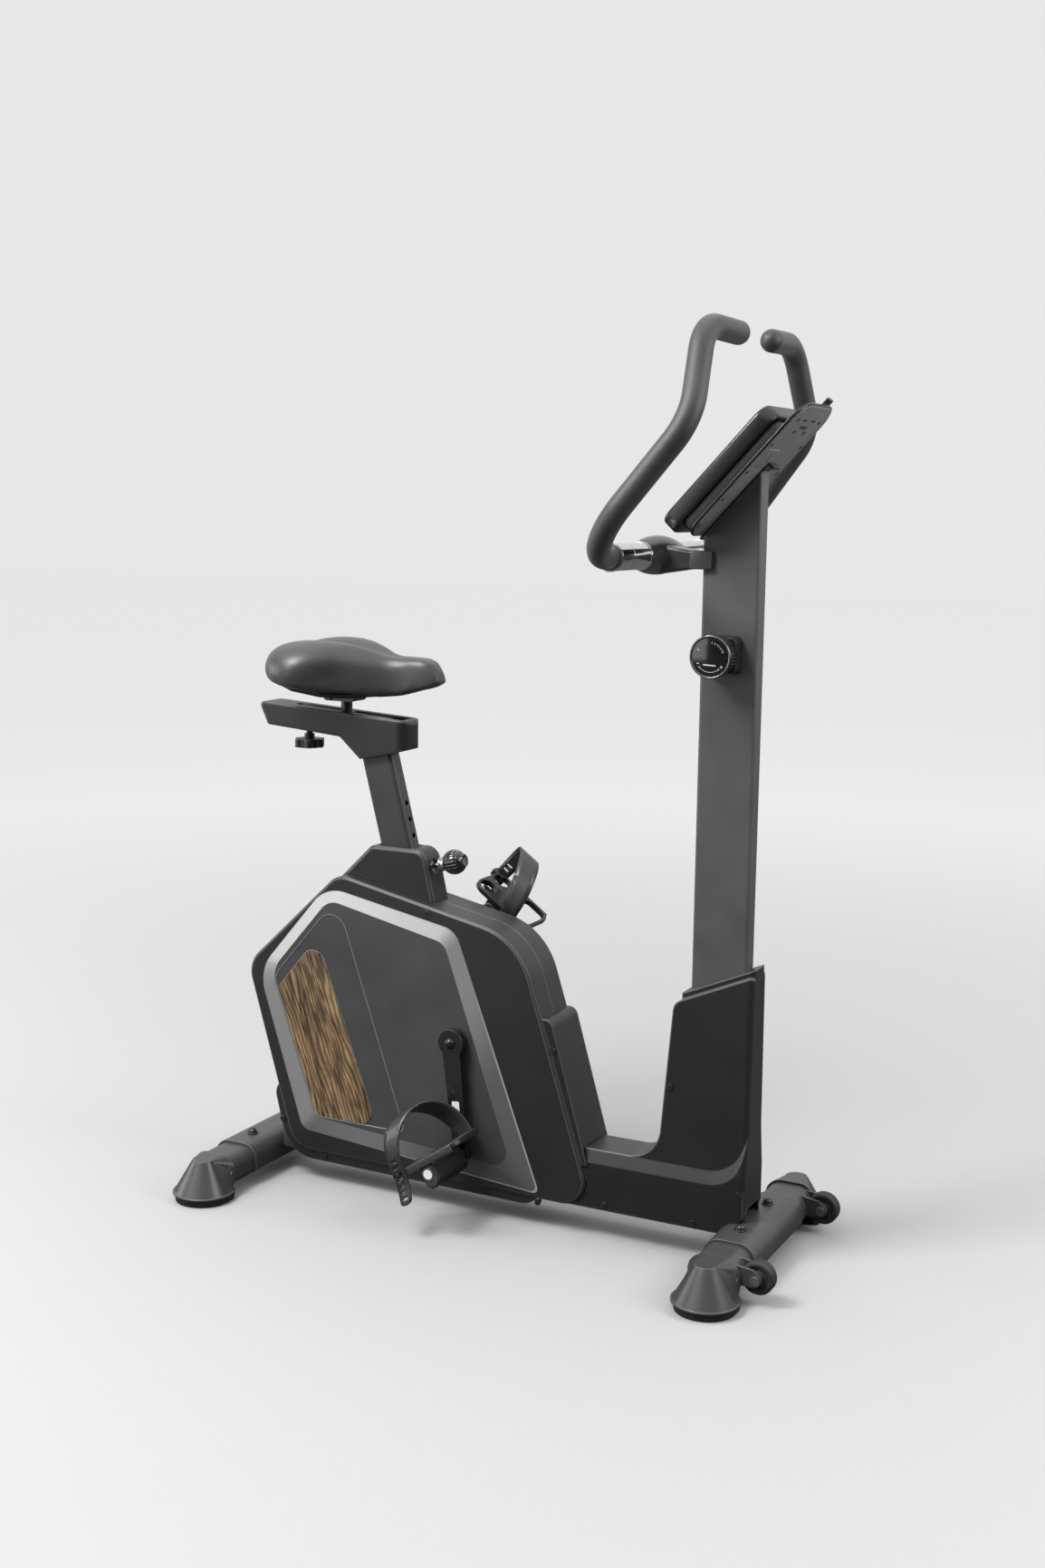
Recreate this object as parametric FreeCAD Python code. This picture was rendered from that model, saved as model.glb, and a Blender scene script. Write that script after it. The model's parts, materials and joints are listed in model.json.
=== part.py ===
import FreeCAD, Part
import math
import os

os.makedirs("parts", exist_ok=True)

V = FreeCAD.Vector

# Upright exercise bike, millimetres.
# +X is the way the rider faces, +Y is the rider's left, +Z is up.
# The origin is on the floor, midway between the rearmost and foremost points.

# overall sizes
overallLength = 983.5
stabiliserWidth = 480.0
columnHeight = 1147.0
elbowSpread = 530.0

# stabilisers and feet
tubeDepth = 72.0
tubeHeight = 47.0
tubeBottom = 15.0
capRadius = 48.0
capTopRadius = 17.0
padHeight = 12.0
wheelRadius = 24.0
wheelWidth = 20.0
wheelAxleZ = 41.0
wheelCentreY = 145.0

# frame
railWidth = 50.0
railBottom = 38.0
railTop = 84.0
columnDepth = 85.0
columnWidth = 30.0
columnWall = 2.0
consoleTilt = 47.0

# seat post
postLean = 14.6
postDepth = 56.0
postWidth = 30.0
postWall = 2.0
bushingWall = 2.0
seatTubeWall = 2.5
holePitch = 26.0
pinHeight = 522.0

# covers
shroudHalfWidth = 48.0
coverWall = 2.5
panelRise = 6.0
baseHalfWidth = 41.0
deckZ = 137.0

# drive
crankLength = 175.0
crankAngle = 6.2
crankZ = 278.0
axleRadius = 10.0
pulleyRadius = 92.0
smallPulleyRadius = 20.0
beltWidth = 8.0
beltThickness = 2.0
flywheelRadius = 112.0
flywheelWidth = 32.0
flywheelZ = 200.0
pedalWidth = 92.0
pedalLength = 114.0
rightPedalTilt = 34.0
leftPedalTilt = -36.0
pedalShift = 10.0
strapHalf = 14.0

# handlebar
barRadius = 12.5
gripRadius = 16.5
sensorRadius = 19.0
barZ = 1025.4

# saddle
saddleLength = 280.0
saddleWidth = 236.0

# clearances
runFit = 0.06
slideFit = 0.08
seatGap = 0.3

# derived positions
halfLength = overallLength / 2
lipRadius = capRadius + 0.8
rearFootX = -halfLength + lipRadius
wheelAxleX = halfLength - wheelRadius
frontFootX = wheelAxleX - 60.5
columnRear = frontFootX - 103.5
columnFront = columnRear + columnDepth
crankX = columnRear - 369.0
shroudRear = crankX - 392.5
tubeTop = tubeBottom + tubeHeight
tubeMidZ = tubeBottom + tubeHeight / 2
saddlePlate = 4.0
footY = stabiliserWidth / 2 - capRadius
lean = math.tan(math.radians(postLean))
postBaseX = crankX + 14.5
panelFace = shroudHalfWidth + panelRise
armInner = panelFace + 4.0
armThickness = 15.0
armOuter = armInner + armThickness
strapReach = math.hypot(pedalLength, pedalWidth) / 2 - 14.7
pulleyY = 38.0
flywheelX = crankX - 207.0
magnetRadius = flywheelRadius + 3.0
pivotAngle = 135.0
pivotReach = flywheelRadius + 16.0
seatSectionDepth = postDepth + 2 * bushingWall + 2 * slideFit
seatSectionWidth = postWidth + 2 * bushingWall + 2 * slideFit
tubeTopAlong = 552.0
postTopAlong = 722.0
postBottomAlong = 330.0
sliderX = postBaseX - 193.0
clampZ = barZ - 5.0
tubeReach = footY - 22.0
baseRear = crankX + 178.0
baseFront = columnFront + 15.5


# ---------------------------------------------------------------- helpers

def point(plane, a, b, level):
    """A point in one of the three main planes."""
    if plane == "xz":
        return V(a, level, b)
    if plane == "xy":
        return V(a, b, level)
    return V(level, a, b)


def loopWire(corners, plane="xz", level=0.0):
    """Closed wire through (a, b, radius) corners, each rounded by its radius."""
    n = len(corners)
    starts = []
    ends = []
    mids = []
    for i in range(n):
        a = V(corners[i - 1][0], corners[i - 1][1], 0)
        b = V(corners[i][0], corners[i][1], 0)
        c = V(corners[(i + 1) % n][0], corners[(i + 1) % n][1], 0)
        r = corners[i][2]
        if r <= 0:
            starts.append(b)
            ends.append(b)
            mids.append(None)
            continue
        u = a.sub(b).normalize()
        w = c.sub(b).normalize()
        half = u.getAngle(w) / 2
        reach = r / math.tan(half)
        bisector = u.add(w).normalize()
        centre = b.add(bisector * (r / math.sin(half)))
        starts.append(b.add(u * reach))
        ends.append(b.add(w * reach))
        mids.append(centre.sub(bisector * r))
    edges = []
    for i in range(n):
        if mids[i] is not None:
            edges.append(Part.Arc(point(plane, starts[i].x, starts[i].y, level),
                                  point(plane, mids[i].x, mids[i].y, level),
                                  point(plane, ends[i].x, ends[i].y, level)).toShape())
        j = (i + 1) % n
        if ends[i].distanceToPoint(starts[j]) > 1e-6:
            edges.append(Part.makeLine(point(plane, ends[i].x, ends[i].y, level),
                                       point(plane, starts[j].x, starts[j].y, level)))
    return Part.Wire(edges)


def plateBetween(corners, plane, low, high):
    """Solid prism of a rounded outline between two levels."""
    wire = loopWire(corners, plane, low)
    way = {"xz": V(0, 1, 0), "xy": V(0, 0, 1), "yz": V(1, 0, 0)}[plane]
    return Part.Face(wire).extrude(way * (high - low))


def offsetPrism(corners, plane, low, high, offset):
    """Prism of an outline moved outward (or inward when negative)."""
    wire = loopWire(corners, plane, low).makeOffset2D(offset)
    way = {"xz": V(0, 1, 0), "xy": V(0, 0, 1), "yz": V(1, 0, 0)}[plane]
    return Part.Face(wire).extrude(way * (high - low))


def rectCorners(a0, a1, b0, b1, r):
    return [(a0, b0, r), (a1, b0, r), (a1, b1, r), (a0, b1, r)]


def box(x0, x1, y0, y1, z0, z1):
    return Part.makeBox(x1 - x0, y1 - y0, z1 - z0, V(x0, y0, z0))


def rodY(r, x, y0, y1, z):
    return Part.makeCylinder(r, y1 - y0, V(x, y0, z), V(0, 1, 0))


def rodZ(r, x, y, z0, z1):
    return Part.makeCylinder(r, z1 - z0, V(x, y, z0), V(0, 0, 1))


def roundedPath(points, radius):
    """Open wire through points in space, corners rounded."""
    pts = [V(*p) for p in points]
    edges = []
    last = pts[0]
    for i in range(1, len(pts) - 1):
        b = pts[i]
        r = radius[i - 1] if isinstance(radius, list) else radius
        u = pts[i - 1].sub(b).normalize()
        w = pts[i + 1].sub(b).normalize()
        half = u.getAngle(w) / 2
        reach = r / math.tan(half)
        bisector = u.add(w).normalize()
        centre = b.add(bisector * (r / math.sin(half)))
        start = b.add(u * reach)
        end = b.add(w * reach)
        if last.distanceToPoint(start) > 1e-6:
            edges.append(Part.makeLine(last, start))
        edges.append(Part.Arc(start, centre.sub(bisector * r), end).toShape())
        last = end
    edges.append(Part.makeLine(last, pts[-1]))
    return Part.Wire(edges)


def sweepRound(path, r):
    """Round bar along a wire."""
    start = path.OrderedEdges[0]
    p = start.valueAt(start.FirstParameter)
    t = start.tangentAt(start.FirstParameter)
    ring = Part.Wire(Part.makeCircle(r, p, t))
    return path.makePipeShell([ring], True, False)


def dome(r, centre, way):
    """Half ball with a tiny flat at its pole."""
    half = Part.makeSphere(r, centre, way, 0, 90, 360)
    return half.common(Part.makeCylinder(r + 1, 0.99 * r, centre, way))


def mirrored(shape):
    return shape.mirror(V(0, 0, 0), V(0, 1, 0))


def alongPost(distance):
    """Point on the seat-post axis, by height above the floor."""
    return V(postBaseX - lean * distance, 0, distance)


def leanAboutPost(shape, height):
    """Move a shape built upright at the origin onto the leaning post axis."""
    shape.rotate(V(0, 0, 0), V(0, 1, 0), -postLean)
    shape.translate(alongPost(height))
    return shape


def uprightOval(depth, width, r, z0, z1):
    return plateBetween(rectCorners(-depth / 2, depth / 2, -width / 2, width / 2, r),
                        "xy", z0, z1)


# ------------------------------------------------------------ stabilisers

def stabiliserCorners(x, grow=0.0):
    half = tubeDepth / 2 + grow
    top = tubeTop + grow
    low = tubeBottom - grow
    return [(x - half, low, 16 + grow), (x + half, low, 16 + grow),
            (x + half, top, 22 + grow), (x - half, top, 22 + grow)]


def stabiliserTube(x):
    outer = plateBetween(stabiliserCorners(x), "xz", -tubeReach, tubeReach)
    inner = plateBetween(stabiliserCorners(x, -2.0), "xz", -tubeReach, tubeReach)
    return outer.cut(inner)


def wheelFork(side):
    """Two arms that hold one transport wheel in front of the front tube."""
    arms = []
    for y in (wheelCentreY - wheelWidth / 2 - 5.0, wheelCentreY + wheelWidth / 2 + 1.5):
        arm = plateBetween([(frontFootX + 22, 31, 0), (wheelAxleX, wheelAxleZ - 12, 9),
                            (wheelAxleX + 13, wheelAxleZ, 9), (wheelAxleX - 4, wheelAxleZ + 14, 6),
                            (frontFootX + 16, 60, 0)], "xz", y, y + 3.5)
        arm = arm.cut(rodY(4 + runFit, wheelAxleX, y - 1, y + 5, wheelAxleZ))
        arms.append(arm)
    pair = arms[0].fuse(arms[1])
    return pair if side > 0 else mirrored(pair)


def frontStabiliser():
    core = plateBetween(stabiliserCorners(frontFootX, -2.0), "xz", -400, 400)
    forks = wheelFork(1).fuse(wheelFork(-1)).cut(core)
    return stabiliserTube(frontFootX).fuse(forks)


def footCap(x, side):
    """Moulded end cap: a cone outside that blends into a short sleeve over the tube."""
    top = tubeTop + 3
    sleeveEnd = footY - 30
    cone = Part.makeCone(capRadius, capTopRadius, top - padHeight, V(x, footY, padHeight), V(0, 0, 1))
    lip = rodZ(lipRadius, x, footY, padHeight, padHeight + 2.5)
    wide = loopWire([(x - capRadius, padHeight, 2), (x + capRadius, padHeight, 2),
                     (x + capTopRadius, top, 6), (x - capTopRadius, top, 6)], "xz", footY)
    narrow = loopWire(stabiliserCorners(x, 3.5), "xz", sleeveEnd)
    body = cone.fuse([lip, Part.makeLoft([wide, narrow], True, True)])
    body = body.cut(box(x - 90, x + 90, 0, footY + 90, 0, padHeight))
    body = body.cut(box(x - 90, x + 90, 0, sleeveEnd, 0, 100))
    body = body.cut(plateBetween(stabiliserCorners(x, 0.15), "xz", sleeveEnd - 10, tubeReach + 0.3))
    body = max(body.Solids, key=lambda solid: solid.Volume)
    return body if side > 0 else mirrored(body)


def padCorners(x, r):
    """Bullet outline: round outboard, square inboard."""
    inboard = footY - 26
    return [(x - r, inboard, 10), (x + r, inboard, 10), (x + r, footY + r, r - 0.1),
            (x - r, footY + r, r - 0.1)]


def footPads():
    """Rubber soles that taper toward the floor."""
    pads = []
    for x in (rearFootX, frontFootX):
        low = loopWire(padCorners(x, capRadius - 4), "xy", 0)
        high = loopWire(padCorners(x, capRadius - 2), "xy", padHeight)
        pad = Part.makeLoft([low, high], True, True)
        pads.extend([pad, mirrored(pad)])
    return Part.makeCompound(pads)


def saddlePlateOver(x):
    """Curved steel plate that hugs the top and the inner side of a stabiliser."""
    outer = plateBetween(stabiliserCorners(x, saddlePlate), "xz", -105, 105)
    inner = plateBetween(stabiliserCorners(x, 0.15), "xz", -110, 110)
    return outer.cut(inner).cut(box(x - 90, x + 90, -120, 120, -20, tubeMidZ - 14))


def mainRail():
    """Rectangular tube with a curved plate welded at each end."""
    rear = rearFootX + tubeDepth / 2 + saddlePlate - 0.5
    front = frontFootX - tubeDepth / 2 - saddlePlate + 0.5
    outer = plateBetween(rectCorners(-railWidth / 2, railWidth / 2, railBottom, railTop, 4),
                         "yz", rear, front)
    inner = plateBetween(rectCorners(-railWidth / 2 + 2.5, railWidth / 2 - 2.5,
                                     railBottom + 2.5, railTop - 2.5, 2), "yz", rear - 1, front + 1)
    rail = outer.cut(inner)
    for x in (rearFootX, frontFootX):
        plate = saddlePlateOver(x)
        for y in boltYs():
            plate = plate.cut(rodZ(5 + runFit, x, y, tubeTop - 1, tubeTop + 8))
        rail = rail.fuse(plate)
    return rail.removeSplitter()


def boltYs():
    return (-58.0, 58.0)


def stabiliserBolts():
    bolts = []
    for x in (rearFootX, frontFootX):
        for y in boltYs():
            shank = rodZ(4.5, x, y, tubeTop - 16, tubeTop + saddlePlate + 1)
            washer = rodZ(9.5, x, y, tubeTop + saddlePlate, tubeTop + saddlePlate + 1.6)
            head = dome(7.5, V(x, y, tubeTop + saddlePlate + 1.6), V(0, 0, 1))
            bolts.append(shank.fuse([washer, head]))
    return Part.makeCompound(bolts)


def drillBoltHoles(tube, x):
    for y in boltYs():
        tube = tube.cut(rodZ(5 + runFit, x, y, tubeTop - 8, tubeTop + 5))
    return tube


def transportWheel(side):
    y = side * wheelCentreY
    half = wheelWidth / 2
    r = wheelRadius
    profile = [V(r - 5, 0, -half), V(r - 1.5, 0, -half + 1), V(r, 0, -half + 4), V(r, 0, half - 4),
               V(r - 1.5, 0, half - 1), V(r - 5, 0, half), V(r - 7, 0, half - 3), V(11, 0, half - 3),
               V(9, 0, half), V(4 + runFit, 0, half), V(4 + runFit, 0, -half), V(9, 0, -half),
               V(11, 0, -half + 3), V(r - 7, 0, -half + 3), V(r - 5, 0, -half)]
    wheel = Part.Face(Part.makePolygon(profile)).revolve(V(0, 0, 0), V(0, 0, 1), 360)
    wheel.rotate(V(0, 0, 0), V(1, 0, 0), 90)
    wheel.translate(V(wheelAxleX, y, wheelAxleZ))
    return wheel


def wheelBolts():
    bolts = []
    for side in (-1, 1):
        inner = wheelCentreY - wheelWidth / 2 - 5.0
        outer = wheelCentreY + wheelWidth / 2 + 5.0
        shank = rodY(4, wheelAxleX, inner - 6, outer + 1, wheelAxleZ)
        head = rodY(7, wheelAxleX, outer + 0.02, outer + 5, wheelAxleZ)
        nut = rodY(7, wheelAxleX, inner - 6, inner - 0.02, wheelAxleZ)
        bolt = shank.fuse([head, nut])
        bolts.append(bolt if side > 0 else mirrored(bolt))
    return Part.makeCompound(bolts)


# ------------------------------------------------------------ steel frame

def seatTube():
    """Leaning tube for the post, with the bottom-bracket shell welded in front."""
    depth = seatSectionDepth + 2 * seatTubeWall
    width = seatSectionWidth + 2 * seatTubeWall
    height = (tubeTopAlong - railTop) / math.cos(math.radians(postLean))
    outer = leanAboutPost(uprightOval(depth, width, 9, -20, height), railTop)
    inner = leanAboutPost(uprightOval(seatSectionDepth, seatSectionWidth, 7, -60, height + 20), railTop)
    shell = rodY(25, crankX, -32, 32, crankZ)
    gusset = box(alongPost(crankZ).x, crankX, -8, 8, crankZ - 45, crankZ + 20)
    tube = outer.fuse([shell, gusset]).cut(inner)
    tube = tube.cut(rodY(20, crankX, -40, 40, crankZ))
    tube = tube.cut(box(-500, 300, -80, 80, 0, railTop))
    pin = pinCentre()
    hole = Part.makeCylinder(7.05, 60, pin, pinAxis())
    tube = tube.cut(hole)
    return max(tube.Solids, key=lambda s: s.Volume)


def crankBearings():
    rings = []
    for y0 in (-32.0, 20.0):
        ring = rodY(19.98, crankX, y0, y0 + 12, crankZ)
        ring = ring.cut(rodY(axleRadius + runFit, crankX, y0 - 1, y0 + 13, crankZ))
        rings.append(ring)
    return Part.makeCompound(rings)


def consoleFrame(u, v):
    """World point for a place along and above the tilted console base line."""
    a = math.radians(consoleTilt)
    x0 = columnRear - 36.5
    z0 = columnHeight - 75.0
    return V(x0 + u * math.cos(a) - v * math.sin(a), 0, z0 + u * math.sin(a) + v * math.cos(a))


def placeOnConsole(shape):
    shape.rotate(V(0, 0, 0), V(0, 1, 0), -consoleTilt)
    shape.translate(consoleFrame(0, 0))
    return shape


def column():
    """Rectangular tube with its top cut off parallel to the console."""
    outer = plateBetween(rectCorners(columnRear, columnFront, -columnWidth / 2, columnWidth / 2, 4.5),
                         "xy", railTop, columnHeight + 40)
    inner = plateBetween(rectCorners(columnRear + columnWall, columnFront - columnWall,
                                     -columnWidth / 2 + columnWall, columnWidth / 2 - columnWall, 3),
                         "xy", railTop - 1, columnHeight + 41)
    tube = outer.cut(inner)
    tool = placeOnConsole(box(-300, 400, -60, 60, -39.3, 300))
    tube = tube.cut(tool)
    tube = tube.cut(box(columnRear - 5, columnRear + 6, -9, 9, railTop + 8, railTop + 34))
    tube = tube.cut(rodY(6, knobX(), -columnWidth, 0, knobZ()))
    for z in (clampZ - 7, clampZ + 7):
        tube = tube.cut(rodY(3.2, columnRear + 9, -40, 40, z))
    return tube


def flywheelMount():
    """Two plates welded on the rail that carry the flywheel shaft and brake pivot."""
    px, pz = magnetPivot()
    plates = []
    for y in (-28.0, 24.0):
        plate = plateBetween([(flywheelX - 60, railTop, 0), (flywheelX + 70, railTop, 0),
                              (flywheelX + 34, flywheelZ + 30, 22), (px + 14, pz + 12, 10),
                              (px - 12, pz + 4, 9), (flywheelX - 40, flywheelZ - 4, 20)],
                             "xz", y, y + 4)
        plate = plate.cut(rodY(8 + runFit, flywheelX, y - 1, y + 5, flywheelZ))
        plate = plate.cut(rodY(4 + runFit, px, y - 1, y + 5, pz))
        plates.append(plate)
    spacer = box(flywheelX - 58, flywheelX + 66, -28, 28, railTop, railTop + 4)
    return plates[0].fuse([plates[1], spacer])


# ------------------------------------------------------------------ drive

def crankAxle():
    core = rodY(axleRadius, crankX, -armInner - 11, armInner + 11, crankZ)
    ends = []
    for side in (-1, 1):
        y0 = armOuter + 1.2
        head = rodY(7, crankX, armInner + 10, y0, crankZ)
        cap = Part.makeSphere(9, V(crankX, y0 - 2.5, crankZ))
        cap = cap.common(box(crankX - 20, crankX + 20, y0, y0 + 20, crankZ - 20, crankZ + 20))
        end = head.fuse(cap)
        ends.append(end if side > 0 else mirrored(end))
    return core.fuse(ends)


def pedalCentre(side):
    """Spindle axis of a pedal; side -1 is the rider's right."""
    a = math.radians(crankAngle)
    sign = -side
    return (crankX + sign * crankLength * math.sin(a), crankZ - sign * crankLength * math.cos(a))


def crankArm(side):
    """Forged arm, wide at the axle and tapering to the spindle eye."""
    x1, z1 = pedalCentre(side)
    y0, y1 = armInner, armOuter
    boss = rodY(21, crankX, y0, y1, crankZ)
    eye = rodY(14, x1, y0 + 2, y1, z1)
    dx, dz = x1 - crankX, z1 - crankZ
    length = math.hypot(dx, dz)
    nx, nz = -dz / length, dx / length
    bar = [(crankX + nx * 15, crankZ + nz * 15, 0), (crankX - nx * 15, crankZ - nz * 15, 0),
           (x1 - nx * 11, z1 - nz * 11, 0), (x1 + nx * 11, z1 + nz * 11, 0)]
    arm = plateBetween(bar, "xz", y0 + 3, y1)
    body = boss.fuse([arm, eye])
    body = body.cut(rodY(axleRadius + 0.02, crankX, y0 - 1, y0 + 11.02, crankZ))
    body = body.cut(rodY(7.02, crankX, y0 + 9, y1 + 1, crankZ))
    body = body.cut(rodY(7.02, x1, y0 - 5, y1 + 1, z1))
    return body if side > 0 else mirrored(body)


def pedalSpindles():
    pins = []
    for side in (-1, 1):
        x, z = pedalCentre(side)
        pin = rodY(7, x, armInner + 3, armOuter + 9, z)
        collar = rodY(9, x, armOuter + 0.02, armOuter + 3, z)
        tip = rodY(5.5, x, armOuter + 9, armOuter + pedalWidth - 2.5, z)
        pin = pin.fuse([collar, tip])
        pins.append(pin if side > 0 else mirrored(pin))
    return Part.makeCompound(pins)


def pedalFrame(shape, side):
    """Put a pedal-local shape (spindle on the origin, +Y outward) in place."""
    tilt = leftPedalTilt if side > 0 else rightPedalTilt
    x, z = pedalCentre(side)
    if side < 0:
        shape = mirrored(shape)
    shape.rotate(V(0, 0, 0), V(0, 1, 0), -tilt)
    shape.translate(V(x, side * (armOuter + 6 + pedalWidth / 2), z))
    return shape


def pedal(side):
    """Platform with see-through loops, a ribbed bar and a spindle housing."""
    rear = pedalShift - pedalLength / 2
    front = pedalShift + pedalLength / 2
    w = pedalWidth / 2
    plate = plateBetween([(rear, -w + 8, 12), (rear + 12, -w, 10), (front, -w, 0), (front, w, 14),
                          (rear, w, 0)], "xy", 13, 25)
    plate = plate.common(strapAligned(box(-100, 100, -strapReach, strapReach, 10, 30)))
    for y in (-20.0, 20.0):
        plate = plate.cut(plateBetween(rectCorners(rear + 9, -15.5, y - 11, y + 11, 10.5), "xy", 0, 40))
    plate = plate.cut(plateBetween([(18, -w + 9, 9), (front - 19, -w + 9, 8), (front - 8, -w + 24, 10),
                                    (front - 8, w - 16, 10), (18, w - 9, 9)], "xy", 0, 40))
    housing = rodY(15, 0, -w + 2, w, 0)
    web = box(-11, 11, -w + 2, w - 2, 0, 15)
    ribs = []
    for i in range(6):
        x = rear + 12 + i * 7.0
        ribs.append(box(x, x + 3, -6, 6, 24.5, 26.5))
    rivets = [strapAligned(strapRivet(x, y)) for x in (-8, 8) for y in (-strapReach, strapReach)]
    body = plate.fuse([housing, web] + ribs + rivets)
    body = body.cut(rodY(5.5 + runFit, 0, -w - 5, w - 8, 0))
    body = body.cut(rodY(7.6, 0, -w - 5, -w + 5, 0))
    return pedalFrame(body, side)


def strapRivet(x, y):
    """Shank through the band into the platform, with a flat head outside."""
    if y > 0:
        return rodY(2.3, x, y - 4, y + 5.4, 19).fuse(rodY(3.6, x, y + 4.2, y + 5.4, 19))
    return mirrored(strapRivet(x, -y))


def strapAligned(shape):
    """Turn a shape made across the pedal so that it runs from corner to corner."""
    shape.rotate(V(0, 0, 0), V(0, 0, 1), math.degrees(math.atan2(pedalLength, pedalWidth)))
    shape.translate(V(pedalShift, 0, 0))
    return shape


def pedalStrap(side):
    """Rubber band from the inner front corner over the toes to the outer rear one."""
    w = strapReach
    outer = [(-w - 3.2, 10), (-w - 3.4, 40), (-w + 3, 70), (-w + 26, 93), (0, 101),
             (w - 26, 93), (w - 3, 70), (w + 3.6, 40), (w + 3.2, 10), (w + 5, -24)]
    inner = [(w + 2.6, -24), (w + 0.2, 10), (w + 1.1, 40), (w - 5.2, 69), (w - 27.4, 90.6),
             (0, 98.4), (-w + 27.4, 90.6), (-w + 5.2, 69), (-w - 1.0, 40), (-w - 0.2, 10)]
    top = Part.BSplineCurve()
    top.interpolate([V(-strapHalf, a, b) for a, b in outer])
    low = Part.BSplineCurve()
    low.interpolate([V(-strapHalf, a, b) for a, b in inner])
    first = Part.makeLine(V(-strapHalf, *outer[-1]), V(-strapHalf, *inner[0]))
    second = Part.makeLine(V(-strapHalf, *inner[-1]), V(-strapHalf, *outer[0]))
    wire = Part.Wire([top.toShape(), first, low.toShape(), second])
    band = Part.Face(wire).extrude(V(2 * strapHalf, 0, 0))
    for i in range(6):
        z = -16.0 + 10.0 * i
        if abs(z - 18) > 9:
            band = band.cut(box(-5, 5, w - 8, w + 12, z - 2, z + 2))
    for x in (-8.0, 8.0):
        for y in (-w, w):
            rivet = rodY(2.4, x, y - 6, y + 6, 19)
            band = band.cut(rivet)
    return pedalFrame(strapAligned(band), side)


def drivePulley():
    y0 = pulleyY - 5
    r = pulleyRadius
    disc = rodY(r + 2.5, crankX, y0, y0 + 1.2, crankZ)
    disc = disc.fuse(rodY(r, crankX, y0, y0 + 10, crankZ))
    disc = disc.cut(rodY(r - 9, crankX, y0 + 3, y0 + 11, crankZ))
    disc = disc.fuse(rodY(24, crankX, y0 + 1, y0 + 10, crankZ))
    for i in range(5):
        a = math.radians(72 * i + 18)
        disc = disc.cut(rodY(15, crankX + 53 * math.cos(a), y0 - 1, y0 + 5, crankZ + 53 * math.sin(a)))
    return disc.cut(rodY(axleRadius + 0.01, crankX, y0 - 1, y0 + 12, crankZ))


def driveBelt():
    """Flat loop tangent to the drive pulley and the flywheel pulley."""
    def loop(extra, y0, y1):
        r1 = pulleyRadius + extra
        r2 = smallPulleyRadius + extra
        dx, dz = flywheelX - crankX, flywheelZ - crankZ
        dist = math.hypot(dx, dz)
        base = math.atan2(dz, dx)
        swing = math.acos((r1 - r2) / dist)
        c1 = V(crankX, y0, crankZ)
        c2 = V(flywheelX, y0, flywheelZ)

        def on(c, r, a):
            return V(c.x + r * math.cos(a), y0, c.z + r * math.sin(a))
        a1, a2 = base + swing, base - swing
        big = Part.Arc(on(c1, r1, a1), on(c1, r1, base + math.pi), on(c1, r1, a2)).toShape()
        small = Part.Arc(on(c2, r2, a2), on(c2, r2, base), on(c2, r2, a1)).toShape()
        wire = Part.Wire([big, Part.makeLine(on(c1, r1, a2), on(c2, r2, a2)), small,
                          Part.makeLine(on(c2, r2, a1), on(c1, r1, a1))])
        return Part.Face(wire).extrude(V(0, y1 - y0, 0))
    y0 = pulleyY - beltWidth / 2 + 0.6
    y1 = pulleyY + beltWidth / 2 + 0.6
    outer = loop(seatGap + beltThickness, y0, y1)
    return outer.cut(loop(seatGap, y0 - 1, y1 + 1))


def flywheel():
    """Heavy rim, thin web, shaft and belt pulley turning as one."""
    half = flywheelWidth / 2
    r = flywheelRadius
    rim = rodY(r, flywheelX, -half, half, flywheelZ)
    rim = rim.cut(rodY(r - 22, flywheelX, -half - 1, -6, flywheelZ))
    rim = rim.cut(rodY(r - 22, flywheelX, 6, half + 1, flywheelZ))
    hub = rodY(22, flywheelX, -half - 2, half + 2, flywheelZ)
    shaft = rodY(8, flywheelX, -34, pulleyY + 6, flywheelZ)
    sheave = rodY(smallPulleyRadius, flywheelX, pulleyY - 5, pulleyY + 6, flywheelZ)
    lip = rodY(smallPulleyRadius + 3.5, flywheelX, pulleyY - 5.2, pulleyY - 4, flywheelZ)
    return rim.fuse([hub, shaft, sheave, lip])


def magnetPivot():
    a = math.radians(pivotAngle)
    return (flywheelX + pivotReach * math.cos(a), flywheelZ + pivotReach * math.sin(a))


def magnetBracket():
    """Curved channel over the rim, with magnets inside and a pivot tube."""
    px, pz = magnetPivot()
    cy = flywheelZ
    outer = rodY(magnetRadius + 13, flywheelX, -14, 14, cy)
    outer = outer.cut(rodY(magnetRadius + 6, flywheelX, -15, 15, cy))
    blocks = []
    for deg in (66.0, 84.0, 102.0, 120.0):
        magnet = box(magnetRadius, magnetRadius + 7, -11, 11, -13, 13)
        magnet.rotate(V(0, 0, 0), V(0, 1, 0), -deg)
        magnet.translate(V(flywheelX, 0, cy))
        blocks.append(magnet)
    a0 = math.radians(54)
    a1 = math.radians(pivotAngle - 3)
    far = 400
    wedge = Part.Face(Part.makePolygon([
        V(flywheelX, -20, cy),
        V(flywheelX + far * math.cos(a0), -20, cy + far * math.sin(a0)),
        V(flywheelX, -20, cy + 2 * far),
        V(flywheelX + far * math.cos(a1), -20, cy + far * math.sin(a1)),
        V(flywheelX, -20, cy)])).extrude(V(0, 40, 0))
    arc = outer.common(wedge)
    tube = rodY(8, px, -22, 22, pz)
    body = arc.fuse(blocks + [tube])
    lug = box(-5, 7, -3, 3, -6, 6)
    lug.rotate(V(0, 0, 0), V(0, 1, 0), -54)
    lug.translate(V(flywheelX + (magnetRadius + 16) * math.cos(a0 + 0.05), 0,
                    cy + (magnetRadius + 16) * math.sin(a0 + 0.05)))
    body = body.fuse(lug)
    pins = []
    pins.append(rodY(4, px, -29, 29, pz))
    return body.fuse(pins)


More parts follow.
